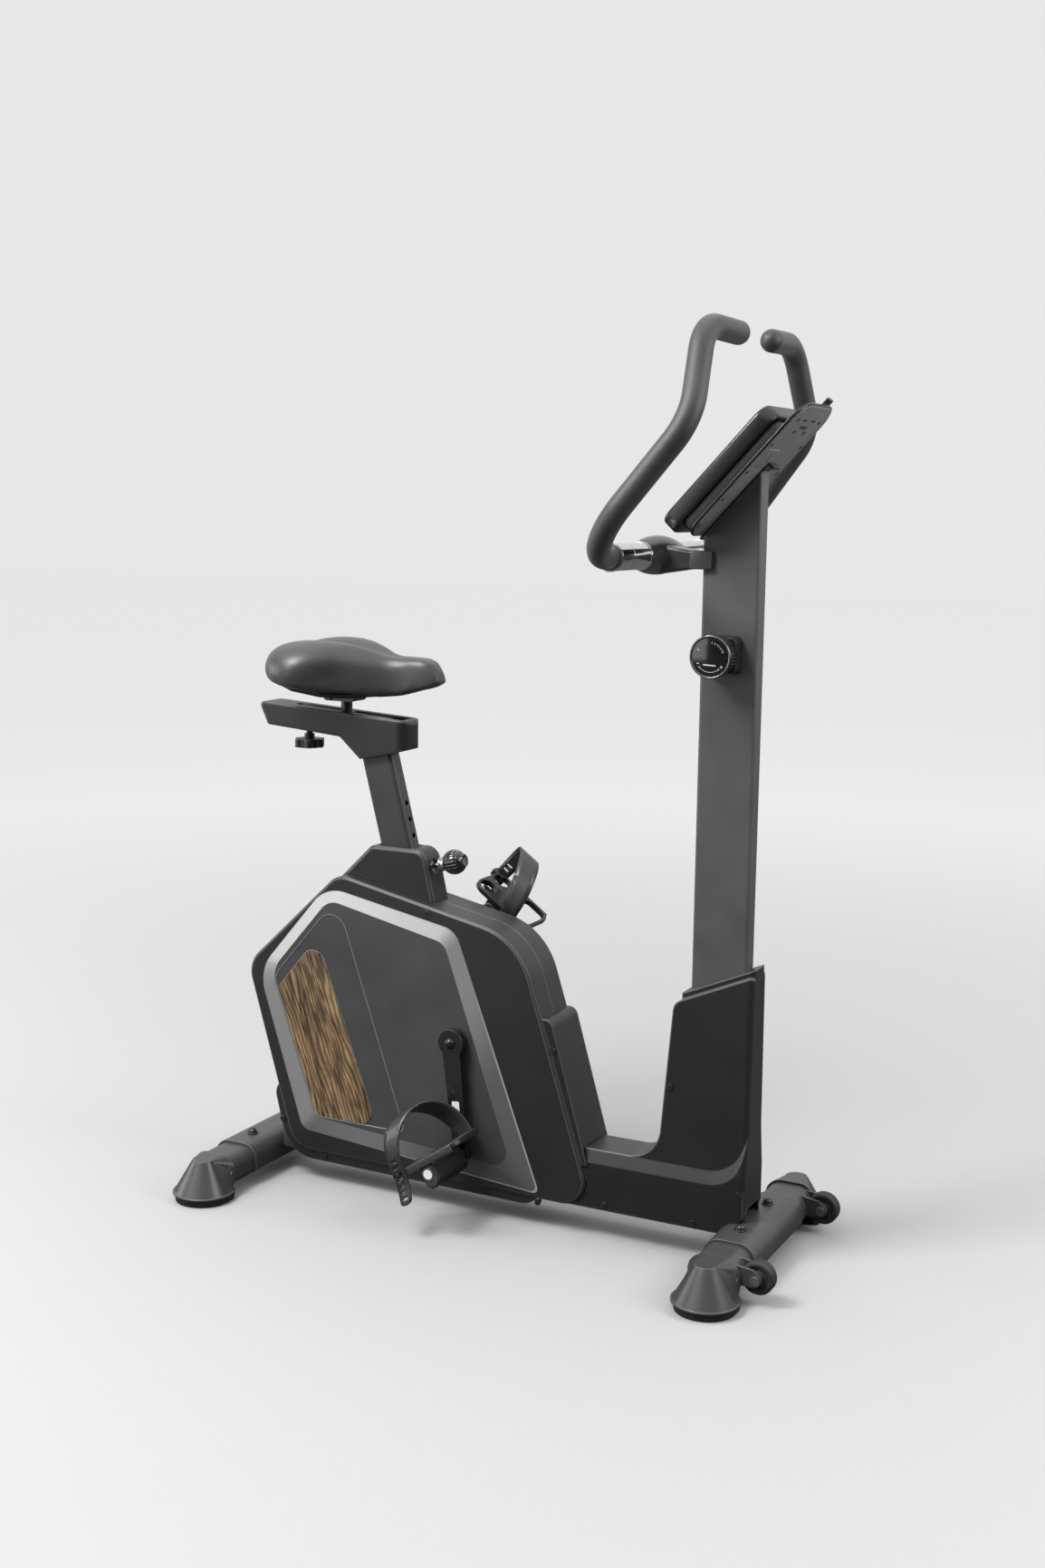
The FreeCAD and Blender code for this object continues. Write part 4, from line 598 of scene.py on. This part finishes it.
def makeKnobRing():
    clearSelection()
    bpy.ops.mesh.primitive_torus_add(location=onKnob(knobFace + knob["ringLift"]), rotation=acrossTurn,
                                     major_radius=knob["radius"] - knob["ringInset"],
                                     minor_radius=knob["ringWidth"], major_segments=96, minor_segments=10)
    ring = newPiece("knob_ring")
    smooth(ring, 60)
    finishPiece(ring, "tension_knob", satinRing)


def printedText(text, place, turn):
    clearSelection()
    bpy.ops.object.text_add(location=place)
    letter = bpy.context.object
    letter.data.body = text
    letter.data.size = knob["numberHeight"]
    letter.data.align_x = "CENTER"
    letter.data.align_y = "CENTER"
    letter.data.extrude = knob["ink"] / 2
    letter.data.resolution_u = 3
    letter.rotation_euler = (math.pi / 2, turn, 0)
    bpy.ops.object.convert(target="MESH")
    return bpy.context.object


def makeKnobMarks():
    level = knobFace + knob["markLift"]
    marks = []
    for number, degrees in enumerate(knob["numbers"], 1):
        angle = math.radians(degrees)
        marks.append(printedText(str(number), onKnob(level, knob["numberRing"], angle), math.pi / 2 - angle))
    for degrees, radius, length, height, turn in knob["bars"]:
        marks.append(addBlock(onKnob(level, radius, math.radians(degrees)), (length, knob["ink"], height),
                              (0, math.radians(turn), 0)))
    length, height = knob["tickSize"]
    for step in range(knob["ticks"]):
        angle = math.radians(knob["tickStart"] + step * knob["tickStep"])
        marks.append(addBlock(onKnob(level, knob["markRing"], angle), (length, knob["ink"], height),
                              (0, math.pi / 2 - angle, 0)))
    for degrees in knob["dots"]:
        marks.append(addCylinder(onKnob(level, knob["markRing"], math.radians(degrees)), knob["dotRadius"],
                                 knob["ink"], 16, acrossTurn))
    printed = joinPieces("knob_numbers", marks)
    finishPiece(printed, "tension_knob", markWhite)


makeKnobGrip()
makeKnobRing()
makeKnobMarks()
print("knob is built")


# Locking pin. Rods are given as start, end and radius, measured out from the middle of the seat post.
pin = {
    "height": 0.522, "postX": -0.05075, "postLean": 0.2605,  # the post's middle is at postX - postLean * z
    "rod": (0.0284, 0.0750, 0.0040), "neck": (0.0672, 0.0740, 0.0095), "lip": (0.0655, 0.0680, 0.0115),
    "ball": 0.0195, "ballAt": 0.0900, "ballBack": -0.0162, "ballFront": 0.0172,
    "flutes": 20, "fluteHeight": 0.0011, "fluteReach": 0.0125,
    "cap": (0.1060, 0.1092, 0.0098), "capRim": 0.0018, "capDish": 0.0008,
    "neckBevel": 0.0006, "knobBevel": 0.0004,
}
pinFoot = Vector((pin["postX"] - pin["postLean"] * pin["height"], 0, pin["height"]))
pinWay = Vector(joints["pin_pull"]["axis"])


def alongPin(distance):
    return pinFoot + pinWay * distance


def pinRod(part, vertices=32):
    start, end, radius = pin[part]
    return addRod(alongPin(start), alongPin(end), radius, vertices)


def makePinBall():
    middle = alongPin(pin["ballAt"])
    clearSelection()
    bpy.ops.mesh.primitive_uv_sphere_add(segments=2 * pin["flutes"], ring_count=20, radius=pin["ball"],
                                         location=middle, rotation=pinWay.to_track_quat("Z", "Y").to_euler())
    ball = applyPlace(bpy.context.object)
    side = Vector((0, 1, 0))
    other = pinWay.cross(side)

    def everySecond(polygon):
        out = polygon.center - middle
        angle = math.atan2(out.dot(other), out.dot(side)) % (2 * math.pi)
        return abs(out.dot(pinWay)) <= pin["fluteReach"] and int(angle / (math.pi / pin["flutes"])) % 2 == 0

    pickFaces(ball, everySecond)
    bpy.ops.mesh.extrude_region_shrink_fatten(TRANSFORM_OT_shrink_fatten={"value": -pin["fluteHeight"]})
    bpy.ops.object.mode_set(mode="OBJECT")
    for vertex in ball.data.vertices:  # flattens both ends of the ball
        reach = (vertex.co - middle).dot(pinWay)
        vertex.co += pinWay * (max(pin["ballBack"], min(pin["ballFront"], reach)) - reach)
    return ball


def makePin():
    metal = joinPieces("pin_neck", [pinRod(part) for part in ("rod", "neck", "lip")])
    addBevel(metal, pin["neckBevel"], 2)
    applyModifiers(metal)
    smooth(metal)
    finishPiece(metal, "pop_pin", brightSteel)
    ball = makePinBall()
    cap = pinRod("cap", 40)
    sinkFaces(cap, lambda polygon: polygon.normal.dot(pinWay) > 0.9,
              (pin["capRim"], pinWay * -pin["capDish"]))
    both = joinPieces("pin_knob", [ball, cap])
    addBevel(both, pin["knobBevel"], 2, 30)
    applyModifiers(both)
    smooth(both, 40)
    finishPiece(both, "pop_pin", glossBlack, ["pop_pin"])


makePin()
print("locking pin is built")


# Console. Its parts are drawn flat, with x up the face and z over it, then tilted onto the column.
console = {
    "origin": (0.26725, 0, 1.072), "tilt": 47.0, "rim": 0.010, "screenDepth": 0.0083,
    "trayRim": 0.0025, "trayDepth": 0.0015, "backRim": 0.0035, "backDepth": 0.0006,
    "tab": ((0.246, 0.020, -0.0340), (0.262, 0.034, -0.0275)),
    "lid": ((0.140, -0.052, -0.0372), (0.172, -0.012, -0.0360)),
}
# start and end up the face, half width, underside, top, corner radius, edge rounding, steps of each
consoleSlabs = {
    "housing": (-0.004, 0.213, 0.072, -0.0185, 0.0075, 0.022, 0.0050),
    "display": (0.108, 0.188, 0.050, -0.0012, 0.0001, 0.004, 0.0004),
    "tray": (0.008, 0.253, 0.072, -0.0360, -0.0312, 0.036, 0.0018, 12),
    "rear_plate": (0.0105, 0.2505, 0.0695, -0.0366, -0.0352, 0.0335, 0.0005, 12, 2),
    "core": (0.012, 0.206, 0.066, -0.0330, -0.0180, 0.018, 0.0008),
}
consoleBack = {
    "level": -0.0368, "headRadius": 0.0030, "headDepth": 0.0012, "headRim": 0.0014, "headDish": 0.0006,
    "screws": ((0.030, 0.060), (0.080, 0.060), (0.130, 0.060), (0.180, 0.060), (0.225, 0.045),
               (0.205, 0.020)),  # the same on both sides
    "slots": ((0.214, 0.0, 0.004, 0.026), (0.226, -0.018, 0.003, 0.014), (0.226, 0.018, 0.003, 0.014),
              (0.158, -0.030, 0.010, 0.004)),  # place, length and width
    "slotUnder": -0.0004, "slotTop": 0.0006,
}


def ontoConsole(obj):
    obj.rotation_euler = (0, -math.radians(console["tilt"]), 0)
    obj.location = console["origin"]
    return applyPlace(obj)


def consoleSlab(part):
    start, end, half, low, high, *rounding = consoleSlabs[part]
    return softSlab("console_" + part, (start, -half, low), (end, half, high), *rounding)


def wideFace(way):  # the large flat face that looks up (1) or down (-1)
    return lambda polygon: polygon.normal.z * way > 0.99 and polygon.area > 0.005


def finishOnConsole(piece, material, replaced=()):
    smooth(piece, 40)
    finishPiece(ontoConsole(piece), "frame", material, replaced)


def makeConsole():
    shell = consoleSlab("housing")
    sinkFaces(shell, wideFace(1), (console["rim"], (0, 0, -console["screenDepth"])))
    finishOnConsole(shell, shellBlack, ["console_shell"])
    finishOnConsole(consoleSlab("display"), displayGlass)
    tray = consoleSlab("tray")
    sinkFaces(tray, wideFace(1), (console["trayRim"], (0, 0, -console["trayDepth"])))
    sinkFaces(tray, wideFace(-1), (console["backRim"], (0, 0, console["backDepth"])))
    tab = softSlab("console_tab", *console["tab"], 0.002, 0.0006)
    finishOnConsole(joinPieces("console_rear", [tray, tab]), shellBlack, ["console_back"])
    finishOnConsole(consoleSlab("rear_plate"), backGrey)
    finishOnConsole(consoleSlab("core"), blackPlastic)


def makeConsoleFittings():
    back, level = consoleBack, consoleBack["level"]
    heads = []
    for side in (-1, 1):
        for x, y in back["screws"]:
            head = addCylinder((x, side * y, level), back["headRadius"], back["headDepth"], 16)
            sinkFaces(head, lambda polygon: polygon.normal.z < -0.9,
                      (back["headRim"], (0, 0, back["headDish"])))
            heads.append(head)
    for x, y, length, width in back["slots"]:
        heads.append(softSlab("console_slot", (x - length / 2, y - width / 2, level + back["slotUnder"]),
                              (x + length / 2, y + width / 2, level + back["slotTop"]), 0.0008, 0.0002, 3, 2))
    fittings = joinPieces("console_fittings", heads)
    smooth(fittings)
    finishPiece(ontoConsole(fittings), "frame", darkBolt)
    lid = softSlab("console_battery_lid", *console["lid"], 0.002, 0.0004)
    smooth(lid)
    finishPiece(ontoConsole(lid), "frame", backGrey)


makeConsole()
makeConsoleFittings()
print("console is built")


# Toe straps. Rows run along the band from its inner front corner, in millimetres: across, up, centre
# along the pedal, half width.
strap = {"thickness": 0.0026, "bevel": 0.0005, "slots": 7, "slotSize": (0.010, 0.030, 0.0032),
         "firstSlot": (-0.0495, 0.052, -0.016), "slotStep": (0.0014, 0, 0.0095)}
strapRows = ((-47.6, 9, 31, 13), (-48.6, 20, 31, 13.5), (-49, 34, 29, 15), (-47.5, 50, 26, 17),
             (-42, 68, 21, 18.5), (-32, 83, 13, 19.5), (-19, 93, 5, 20), (-5, 98, -4, 20),
             (9, 97.5, -12, 19.5), (23, 92, -20, 18.5), (35, 82, -27, 17), (44, 68, -33, 15),
             (49, 52, -38, 13), (50.5, 36, -41, 12), (50, 20, -43, 11.5), (49.4, 8, -45, 11.5),
             (52, -4, -47, 11.5), (56, -16, -49, 11), (59, -25, -51, 10.5))
strapHooks = (((-0.0570, 0.0340, 0.0135), (-0.0330, 0.0490, 0.0245)),
              ((0.0190, -0.0465, 0.0135), (0.0430, -0.0340, 0.0245)),
              ((-0.0500, 0.0500, 0.0150), (-0.0400, 0.0535, 0.0230)))
pedalSides = {"right": (-1, 34.0), "left": (1, -36.0)}  # side of the machine, tilt of the pedal


def pedalAxis(name):
    return joints["pedal_" + name + "_turn"]["pos_m"]


def ontoPedal(obj, name):  # from the pedal's own axes (forward, outward, up) to its place on the crank
    side, tilt = pedalSides[name]
    if side < 0:
        obj.scale = (1, -1, 1)
        applyPlace(obj)
    obj.rotation_euler = (0, -math.radians(tilt), 0)
    obj.location = pedalAxis(name)
    return outward(applyPlace(obj))


def makeBand(name):  # a plane laid on the first two rows, then extruded row by row
    rows = [(Vector((along, across, up)) / 1000, half / 1000) for across, up, along, half in strapRows]
    clearSelection()
    bpy.ops.mesh.primitive_plane_add(size=1, location=(0, 0, 0))
    band = newPiece("strap_" + name)
    ends = {(-1, -1): (0, -1), (1, -1): (0, 1), (1, 1): (1, 1), (-1, 1): (1, -1)}
    for vertex in band.data.vertices:
        row, side = ends[(round(vertex.co.x * 2), round(vertex.co.y * 2))]
        middle, half = rows[row]
        vertex.co = middle + Vector((side * half, 0, 0))
    for (last, lastHalf), (middle, half) in zip(rows[1:], rows[2:]):

        def onLastRow(point):
            gap = point - last
            return gap.length < lastHalf + 10 * samePlace and max(abs(gap.y), abs(gap.z)) < samePlace

        pickEdges(band, lambda a, b: onLastRow(a) and onLastRow(b))
        bpy.ops.mesh.extrude_region_move(TRANSFORM_OT_translate={"value": middle - last})
        bpy.ops.transform.resize(value=(half / lastHalf, 1, 1), center_override=middle)
        bpy.ops.object.mode_set(mode="OBJECT")
    band.modifiers.new("Round", "SUBSURF").levels = 2
    solid = band.modifiers.new("Thick", "SOLIDIFY")
    solid.thickness = strap["thickness"]
    solid.offset = 0
    outward(band)
    return applyModifiers(band)


def makeStrap(name):
    band = makeBand(name)
    first, step = Vector(strap["firstSlot"]), Vector(strap["slotStep"])
    cutAway(band, [addBlock(first + step * count, strap["slotSize"]) for count in range(strap["slots"])])
    addBevel(band, strap["bevel"], 2, 50)
    applyModifiers(band)
    smooth(band, 40)
    finishPiece(ontoPedal(band, name), "pedal_" + name, strapRubber, ["pedal_strap_" + name])
    hook = joinPieces("strap_hooks_" + name,
                      [softSlab("strap_hook", low, high, 0.003, 0.0015, 4, 2) for low, high in strapHooks])
    smooth(hook)
    finishPiece(ontoPedal(hook, name), "pedal_" + name, blackPlastic)


makeStrap("right")
makeStrap("left")
print("straps are built")


# Pedals, drawn level in the pedal's own axes. A pair is where a part starts and ends along the pedal.
pedal = {
    "rear": -0.047, "front": 0.067, "half": 0.046, "low": 0.0165, "high": 0.025, "corner": 0.022,
    "plateEdge": 0.0014,
    "roundWindow": 0.0175, "roundPlace": (0.0185, 0.0235), "squash": 0.82, "cutHeight": 0.05,
    "squareStart": 0.017, "squareFrontRim": 0.0045, "squareSideRim": 0.005, "squareCorner": 0.018,
    "web": (-0.013, 0.015), "webUnder": 0.008, "webInset": 0.003, "webLap": 0.0004,
    "housing": (-0.0125, 0.0125), "housingUnder": -0.0225, "housingTop": 0.0130, "housingInset": 0.001,
    "housingCorner": 0.0105, "housingEdge": 0.0016,
    "bores": ((0.0058, -0.06, 0.0385), (0.0080, -0.06, -0.0400)),  # radius, start and end across the pedal
    "ribs": 9, "ribStart": 0.0055, "ribPitch": 0.0034, "ribSize": (0.0015, 0.0125, 0.0018), "ribTurn": 28,
    "ribLift": 0.0003, "ribBevel": 0.0003,
    "railRear": 0.010, "railFront": 0.008, "railUnder": 0.0130, "railTop": 0.0236, "railLap": 0.0004,
    "railStand": 0.0018, "cap": (-0.0100, 0.0100), "capUnder": -0.0200, "capTop": 0.0095,
    "capHalfDepth": 0.0006, "capCorner": 0.0085,
}
pedalRear, pedalFront, pedalHalf = pedal["rear"], pedal["front"], pedal["half"]


def alongWidth(obj):  # turns a piece drawn upright so that it lies across the pedal
    obj.rotation_euler = acrossTurn
    return applyPlace(obj)


def makePedalPlate():
    low, high, half, rim = pedal["low"], pedal["high"], pedalHalf, pedal["squareSideRim"]
    plate = softSlab("pedal_plate", (pedalRear, -half, low), (pedalFront, half, high), pedal["corner"],
                     pedal["plateEdge"], 10, 3)
    forward, across = pedal["roundPlace"]
    windows = [addCylinder((pedalRear + forward, side * across, high), pedal["roundWindow"], 0.03, 48,
                           squash=pedal["squash"]) for side in (-1, 1)]
    windows.append(softSlab("pedal_window", (pedal["squareStart"], -half + rim, 0),
                            (pedalFront - pedal["squareFrontRim"], half - rim, pedal["cutHeight"]),
                            pedal["squareCorner"], 0.001))
    cutAway(plate, windows)
    return plate


def makePedalWeb():
    start, end = pedal["web"]
    half = pedalHalf - pedal["webInset"]
    return softSlab("pedal_web", (start, -half, pedal["webUnder"]),
                    (end, half, pedal["low"] + pedal["webLap"]), 0.004, 0.001)


def makePedalHousing():
    start, end = pedal["housing"]
    housing = softSlab("pedal_housing", (start, pedal["housingUnder"], -pedalHalf + pedal["housingInset"]),
                       (end, pedal["housingTop"], pedalHalf), pedal["housingCorner"], pedal["housingEdge"])
    for radius, boreStart, boreEnd in pedal["bores"]:
        cutAway(housing, [addCylinder((0, 0, -(boreStart + boreEnd) / 2), radius, boreEnd - boreStart, 40)])
    return alongWidth(housing)


def makePedalRibs():
    ribs = []
    for step in range(pedal["ribs"]):
        x = pedalRear + pedal["ribStart"] + step * pedal["ribPitch"]
        rib = addBlock((x, 0, pedal["high"] + pedal["ribLift"]), pedal["ribSize"],
                       (0, 0, math.radians(pedal["ribTurn"])))
        ribs.append(applyModifiers(addBevel(rib, pedal["ribBevel"], 2)))
    return ribs


def makePedalRail():  # grey strip along the inner edge
    low = (pedalRear + pedal["railRear"], pedalHalf - pedal["railLap"], pedal["railUnder"])
    high = (pedalFront - pedal["railFront"], pedalHalf + pedal["railStand"], pedal["railTop"])
    return softSlab("pedal_rail", low, high, 0.0008, 0.0006, 3, 2)


def makePedalCap():  # grey cap over the outer end of the housing
    start, end = pedal["cap"]
    depth = pedal["capHalfDepth"]
    return alongWidth(softSlab("pedal_end", (start, pedal["capUnder"], -pedalHalf - depth),
                               (end, pedal["capTop"], -pedalHalf + depth), pedal["capCorner"], 0.0004))


def finishOnPedal(title, name, parts, material, replaced=()):
    piece = joinPieces("pedal_" + title + "_" + name, parts)
    smooth(piece, 40)
    finishPiece(ontoPedal(piece, name), "pedal_" + name, material, replaced)


def makePedal(name):
    finishOnPedal("body", name, [makePedalPlate(), makePedalWeb(), makePedalHousing(), *makePedalRibs()],
                  blackPlastic, ["pedal_" + name])
    finishOnPedal("trim", name, [makePedalRail(), makePedalCap()], railGrey)


makePedal("right")
makePedal("left")
print("pedals are built")


# Clamp plates, labels and screws, each flat against a side
clampPlate = {"place": (0.3035, 0.0221, 1.0204), "size": (0.032, 0.0245, 0.0014), "corner": 0.003}
armLabel = {"place": (-0.0525, -0.0732, 0.1660), "size": (0.0125, 0.043, 0.0002), "corner": 0.0012}
sticker = {"y": 0.1719, "radius": 0.0075, "thickness": 0.0004}
capScrew = {"place": (-0.1220, 0.0480, 0.4700), "radius": 0.0042, "thickness": 0.0012}


def flatOnSide(name, place, plate, outwardSide, turn=0):
    length, height, thickness = plate["size"]
    piece = softSlab(name, (-length / 2, -height / 2, 0), (length / 2, height / 2, thickness),
                     plate["corner"], thickness * 0.3, 6, 2)
    piece.rotation_euler = (-outwardSide * math.pi / 2, turn, 0)
    piece.location = place
    return applyPlace(piece)


def makeClampPlates():
    x, y, z = clampPlate["place"]
    for name, (side, _) in pedalSides.items():
        plate = flatOnSide("clamp_plate_" + name, (x, side * y, z), clampPlate, side)
        smooth(plate)
        finishPiece(plate, "frame", tubePaint)


def makeArmLabel():  # leans with the crank arm
    crankX, _, crankZ = joints["crank_turn"]["pos_m"]
    footX, _, footZ = pedalAxis("right")
    lean = math.atan2(footX - crankX, crankZ - footZ)
    label = flatOnSide("arm_label", armLabel["place"], armLabel, pedalSides["right"][0], -lean)
    finishPiece(label, "crank", labelWhite)


def makeStickers():
    for name, (side, _) in pedalSides.items():
        x, _, z = pedalAxis(name)
        disc = addCylinder((x, side * sticker["y"], z), sticker["radius"], sticker["thickness"], 36,
                           acrossTurn)
        newPiece("sticker_" + name)
        finishPiece(disc, "pedal_" + name, labelWhite)


def makeCapScrews():
    x, y, z = capScrew["place"]
    for name, (side, _) in pedalSides.items():
        head = addCylinder((x, side * y, z), capScrew["radius"], capScrew["thickness"], 24, acrossTurn)
        newPiece("cap_screw_" + name)
        finishPiece(head, "frame", darkBolt)


makeClampPlates()
makeArmLabel()
makeStickers()
makeCapScrews()
print("small fittings are built")


# Floor, light and camera
floorLook = {"size": 40, "near": 0.345, "far": 0.64, "paleFrom": 0.2, "paleTo": 4.5, "grain": 0.04,
             "grainScale": 60, "unseen": 0.07, "roughness": 0.9}
# what lights the bike: pale wall behind, bright ceiling, dim room in front; each is the brightness at
# the low and the high end of the change, and where along that axis it starts and ends
room = {"Y": (0.08, 0.80, -0.1, 0.5), "Z": (0.0, 1.5, 0.3, 0.9), "X": (0.16, 0.0, -0.9, -0.1)}
wallSeen = 0.80
sun = {"power": 0.8, "spread": 40, "tilt": (34, -22)}
lamps = {"keyLight": ((-0.7, -1.2, 2.2), 0.7, 48), "frontLight": ((-1.9, -2.7, 1.2), 1.7, 19),
         "sideLight": ((-2.6, -0.7, 0.9), 1.2, 20), "rimLight": ((2.2, 0.1, 1.7), 1.0, 30)}
lampAim = Vector((0.0, 0.0, 0.6))
camera = {"place": (1.2640, -2.464, 1.0991), "turn": 26.85, "drop": 8.7, "roll": 0.75, "lens": 42.43,
          "sensor": 36, "far": 60}


def makeStage():
    clearSelection()
    bpy.ops.mesh.primitive_plane_add(size=floorLook["size"], location=(0, 0, 0))
    floor = newPiece("floor")
    material, tree, shader = newMaterial("paleFloor")
    place = objectPlace(tree)
    distance = maths(tree, "LENGTH", place, kind="VectorMath")
    # a little paler away from the lamps, so the floor runs into the wall
    reach = remap(tree, distance, floorLook["paleFrom"], floorLook["paleTo"], steps="SMOOTHSTEP")
    grain = noise(tree, place, floorLook["grainScale"], 2)
    shades = ramp(tree, maths(tree, "MULTIPLY_ADD", grain, floorLook["grain"], reach),
                  (0, grey(floorLook["near"])), (1, grey(floorLook["far"])))
    seen = addNode(tree, "LightPath").outputs["Is Camera Ray"]
    fillInputs(tree, shader, {"Roughness": floorLook["roughness"],
                              "Base Color": mixColors(tree, seen, (*grey(floorLook["unseen"]), 1), shades)})
    floor.data.materials.append(material)
    applyPlace(floor)


def hang(name, data, place=(0, 0, 0), turn=(0, 0, 0)):
    holder = bpy.data.objects.new(name, data)
    holder.location = place
    holder.rotation_euler = turn
    scene.collection.objects.link(holder)
    return holder


def makeLight():
    world = bpy.data.worlds.new("studio")
    scene.world = world
    world.use_nodes = True
    tree = world.node_tree
    split = addNode(tree, "SeparateXYZ", {"Vector": addNode(tree, "TexCoord").outputs["Generated"]})
    light = 0.0
    for axis, (low, high, start, end) in room.items():
        part = remap(tree, split.outputs[axis], start, end, low, high, "SMOOTHSTEP")
        light = maths(tree, "MAXIMUM", light, part)
    lit = tree.nodes["Background"]
    tree.links.new(light, lit.inputs["Color"])
    seen = addNode(tree, "Background", {"Color": (*grey(wallSeen), 1), "Strength": 1.0})
    rays = addNode(tree, "LightPath").outputs
    direct = maths(tree, "MAXIMUM", rays["Is Camera Ray"], rays["Is Transmission Ray"])
    mix = addNode(tree, "MixShader", {0: direct, 1: lit.outputs["Background"], 2: seen.outputs["Background"]})
    tree.links.new(mix.outputs["Shader"], tree.nodes["World Output"].inputs["Surface"])
    sunLamp = bpy.data.lights.new("sunLight", "SUN")
    sunLamp.energy = sun["power"]
    sunLamp.angle = math.radians(sun["spread"])
    hang("sunLight", sunLamp, turn=(*map(math.radians, sun["tilt"]), 0))
    for name, (place, size, power) in lamps.items():
        lamp = bpy.data.lights.new(name, "AREA")
        lamp.size = size
        lamp.energy = power
        hang(name, lamp, place, (lampAim - Vector(place)).to_track_quat("-Z", "Y").to_euler())


def makeCamera():
    view = bpy.data.cameras.new("camera")
    view.sensor_width = camera["sensor"]
    view.lens = camera["lens"]
    view.clip_end = camera["far"]
    turn, drop, roll = [math.radians(camera[key]) for key in ("turn", "drop", "roll")]
    ahead = Vector((-math.sin(turn) * math.cos(drop), math.cos(turn) * math.cos(drop), -math.sin(drop)))
    level = Vector((math.cos(turn), math.sin(turn), 0))
    above = level.cross(ahead)
    right = math.cos(roll) * level + math.sin(roll) * above
    up = -math.sin(roll) * level + math.cos(roll) * above
    holder = hang("camera", view)
    holder.matrix_world = (Matrix.Translation(camera["place"])
                           @ Matrix((right, up, -ahead)).transposed().to_4x4())
    scene.camera = holder


makeStage()
makeLight()
makeCamera()
scene.view_settings.view_transform = "Standard"
print("floor, light and camera are set")
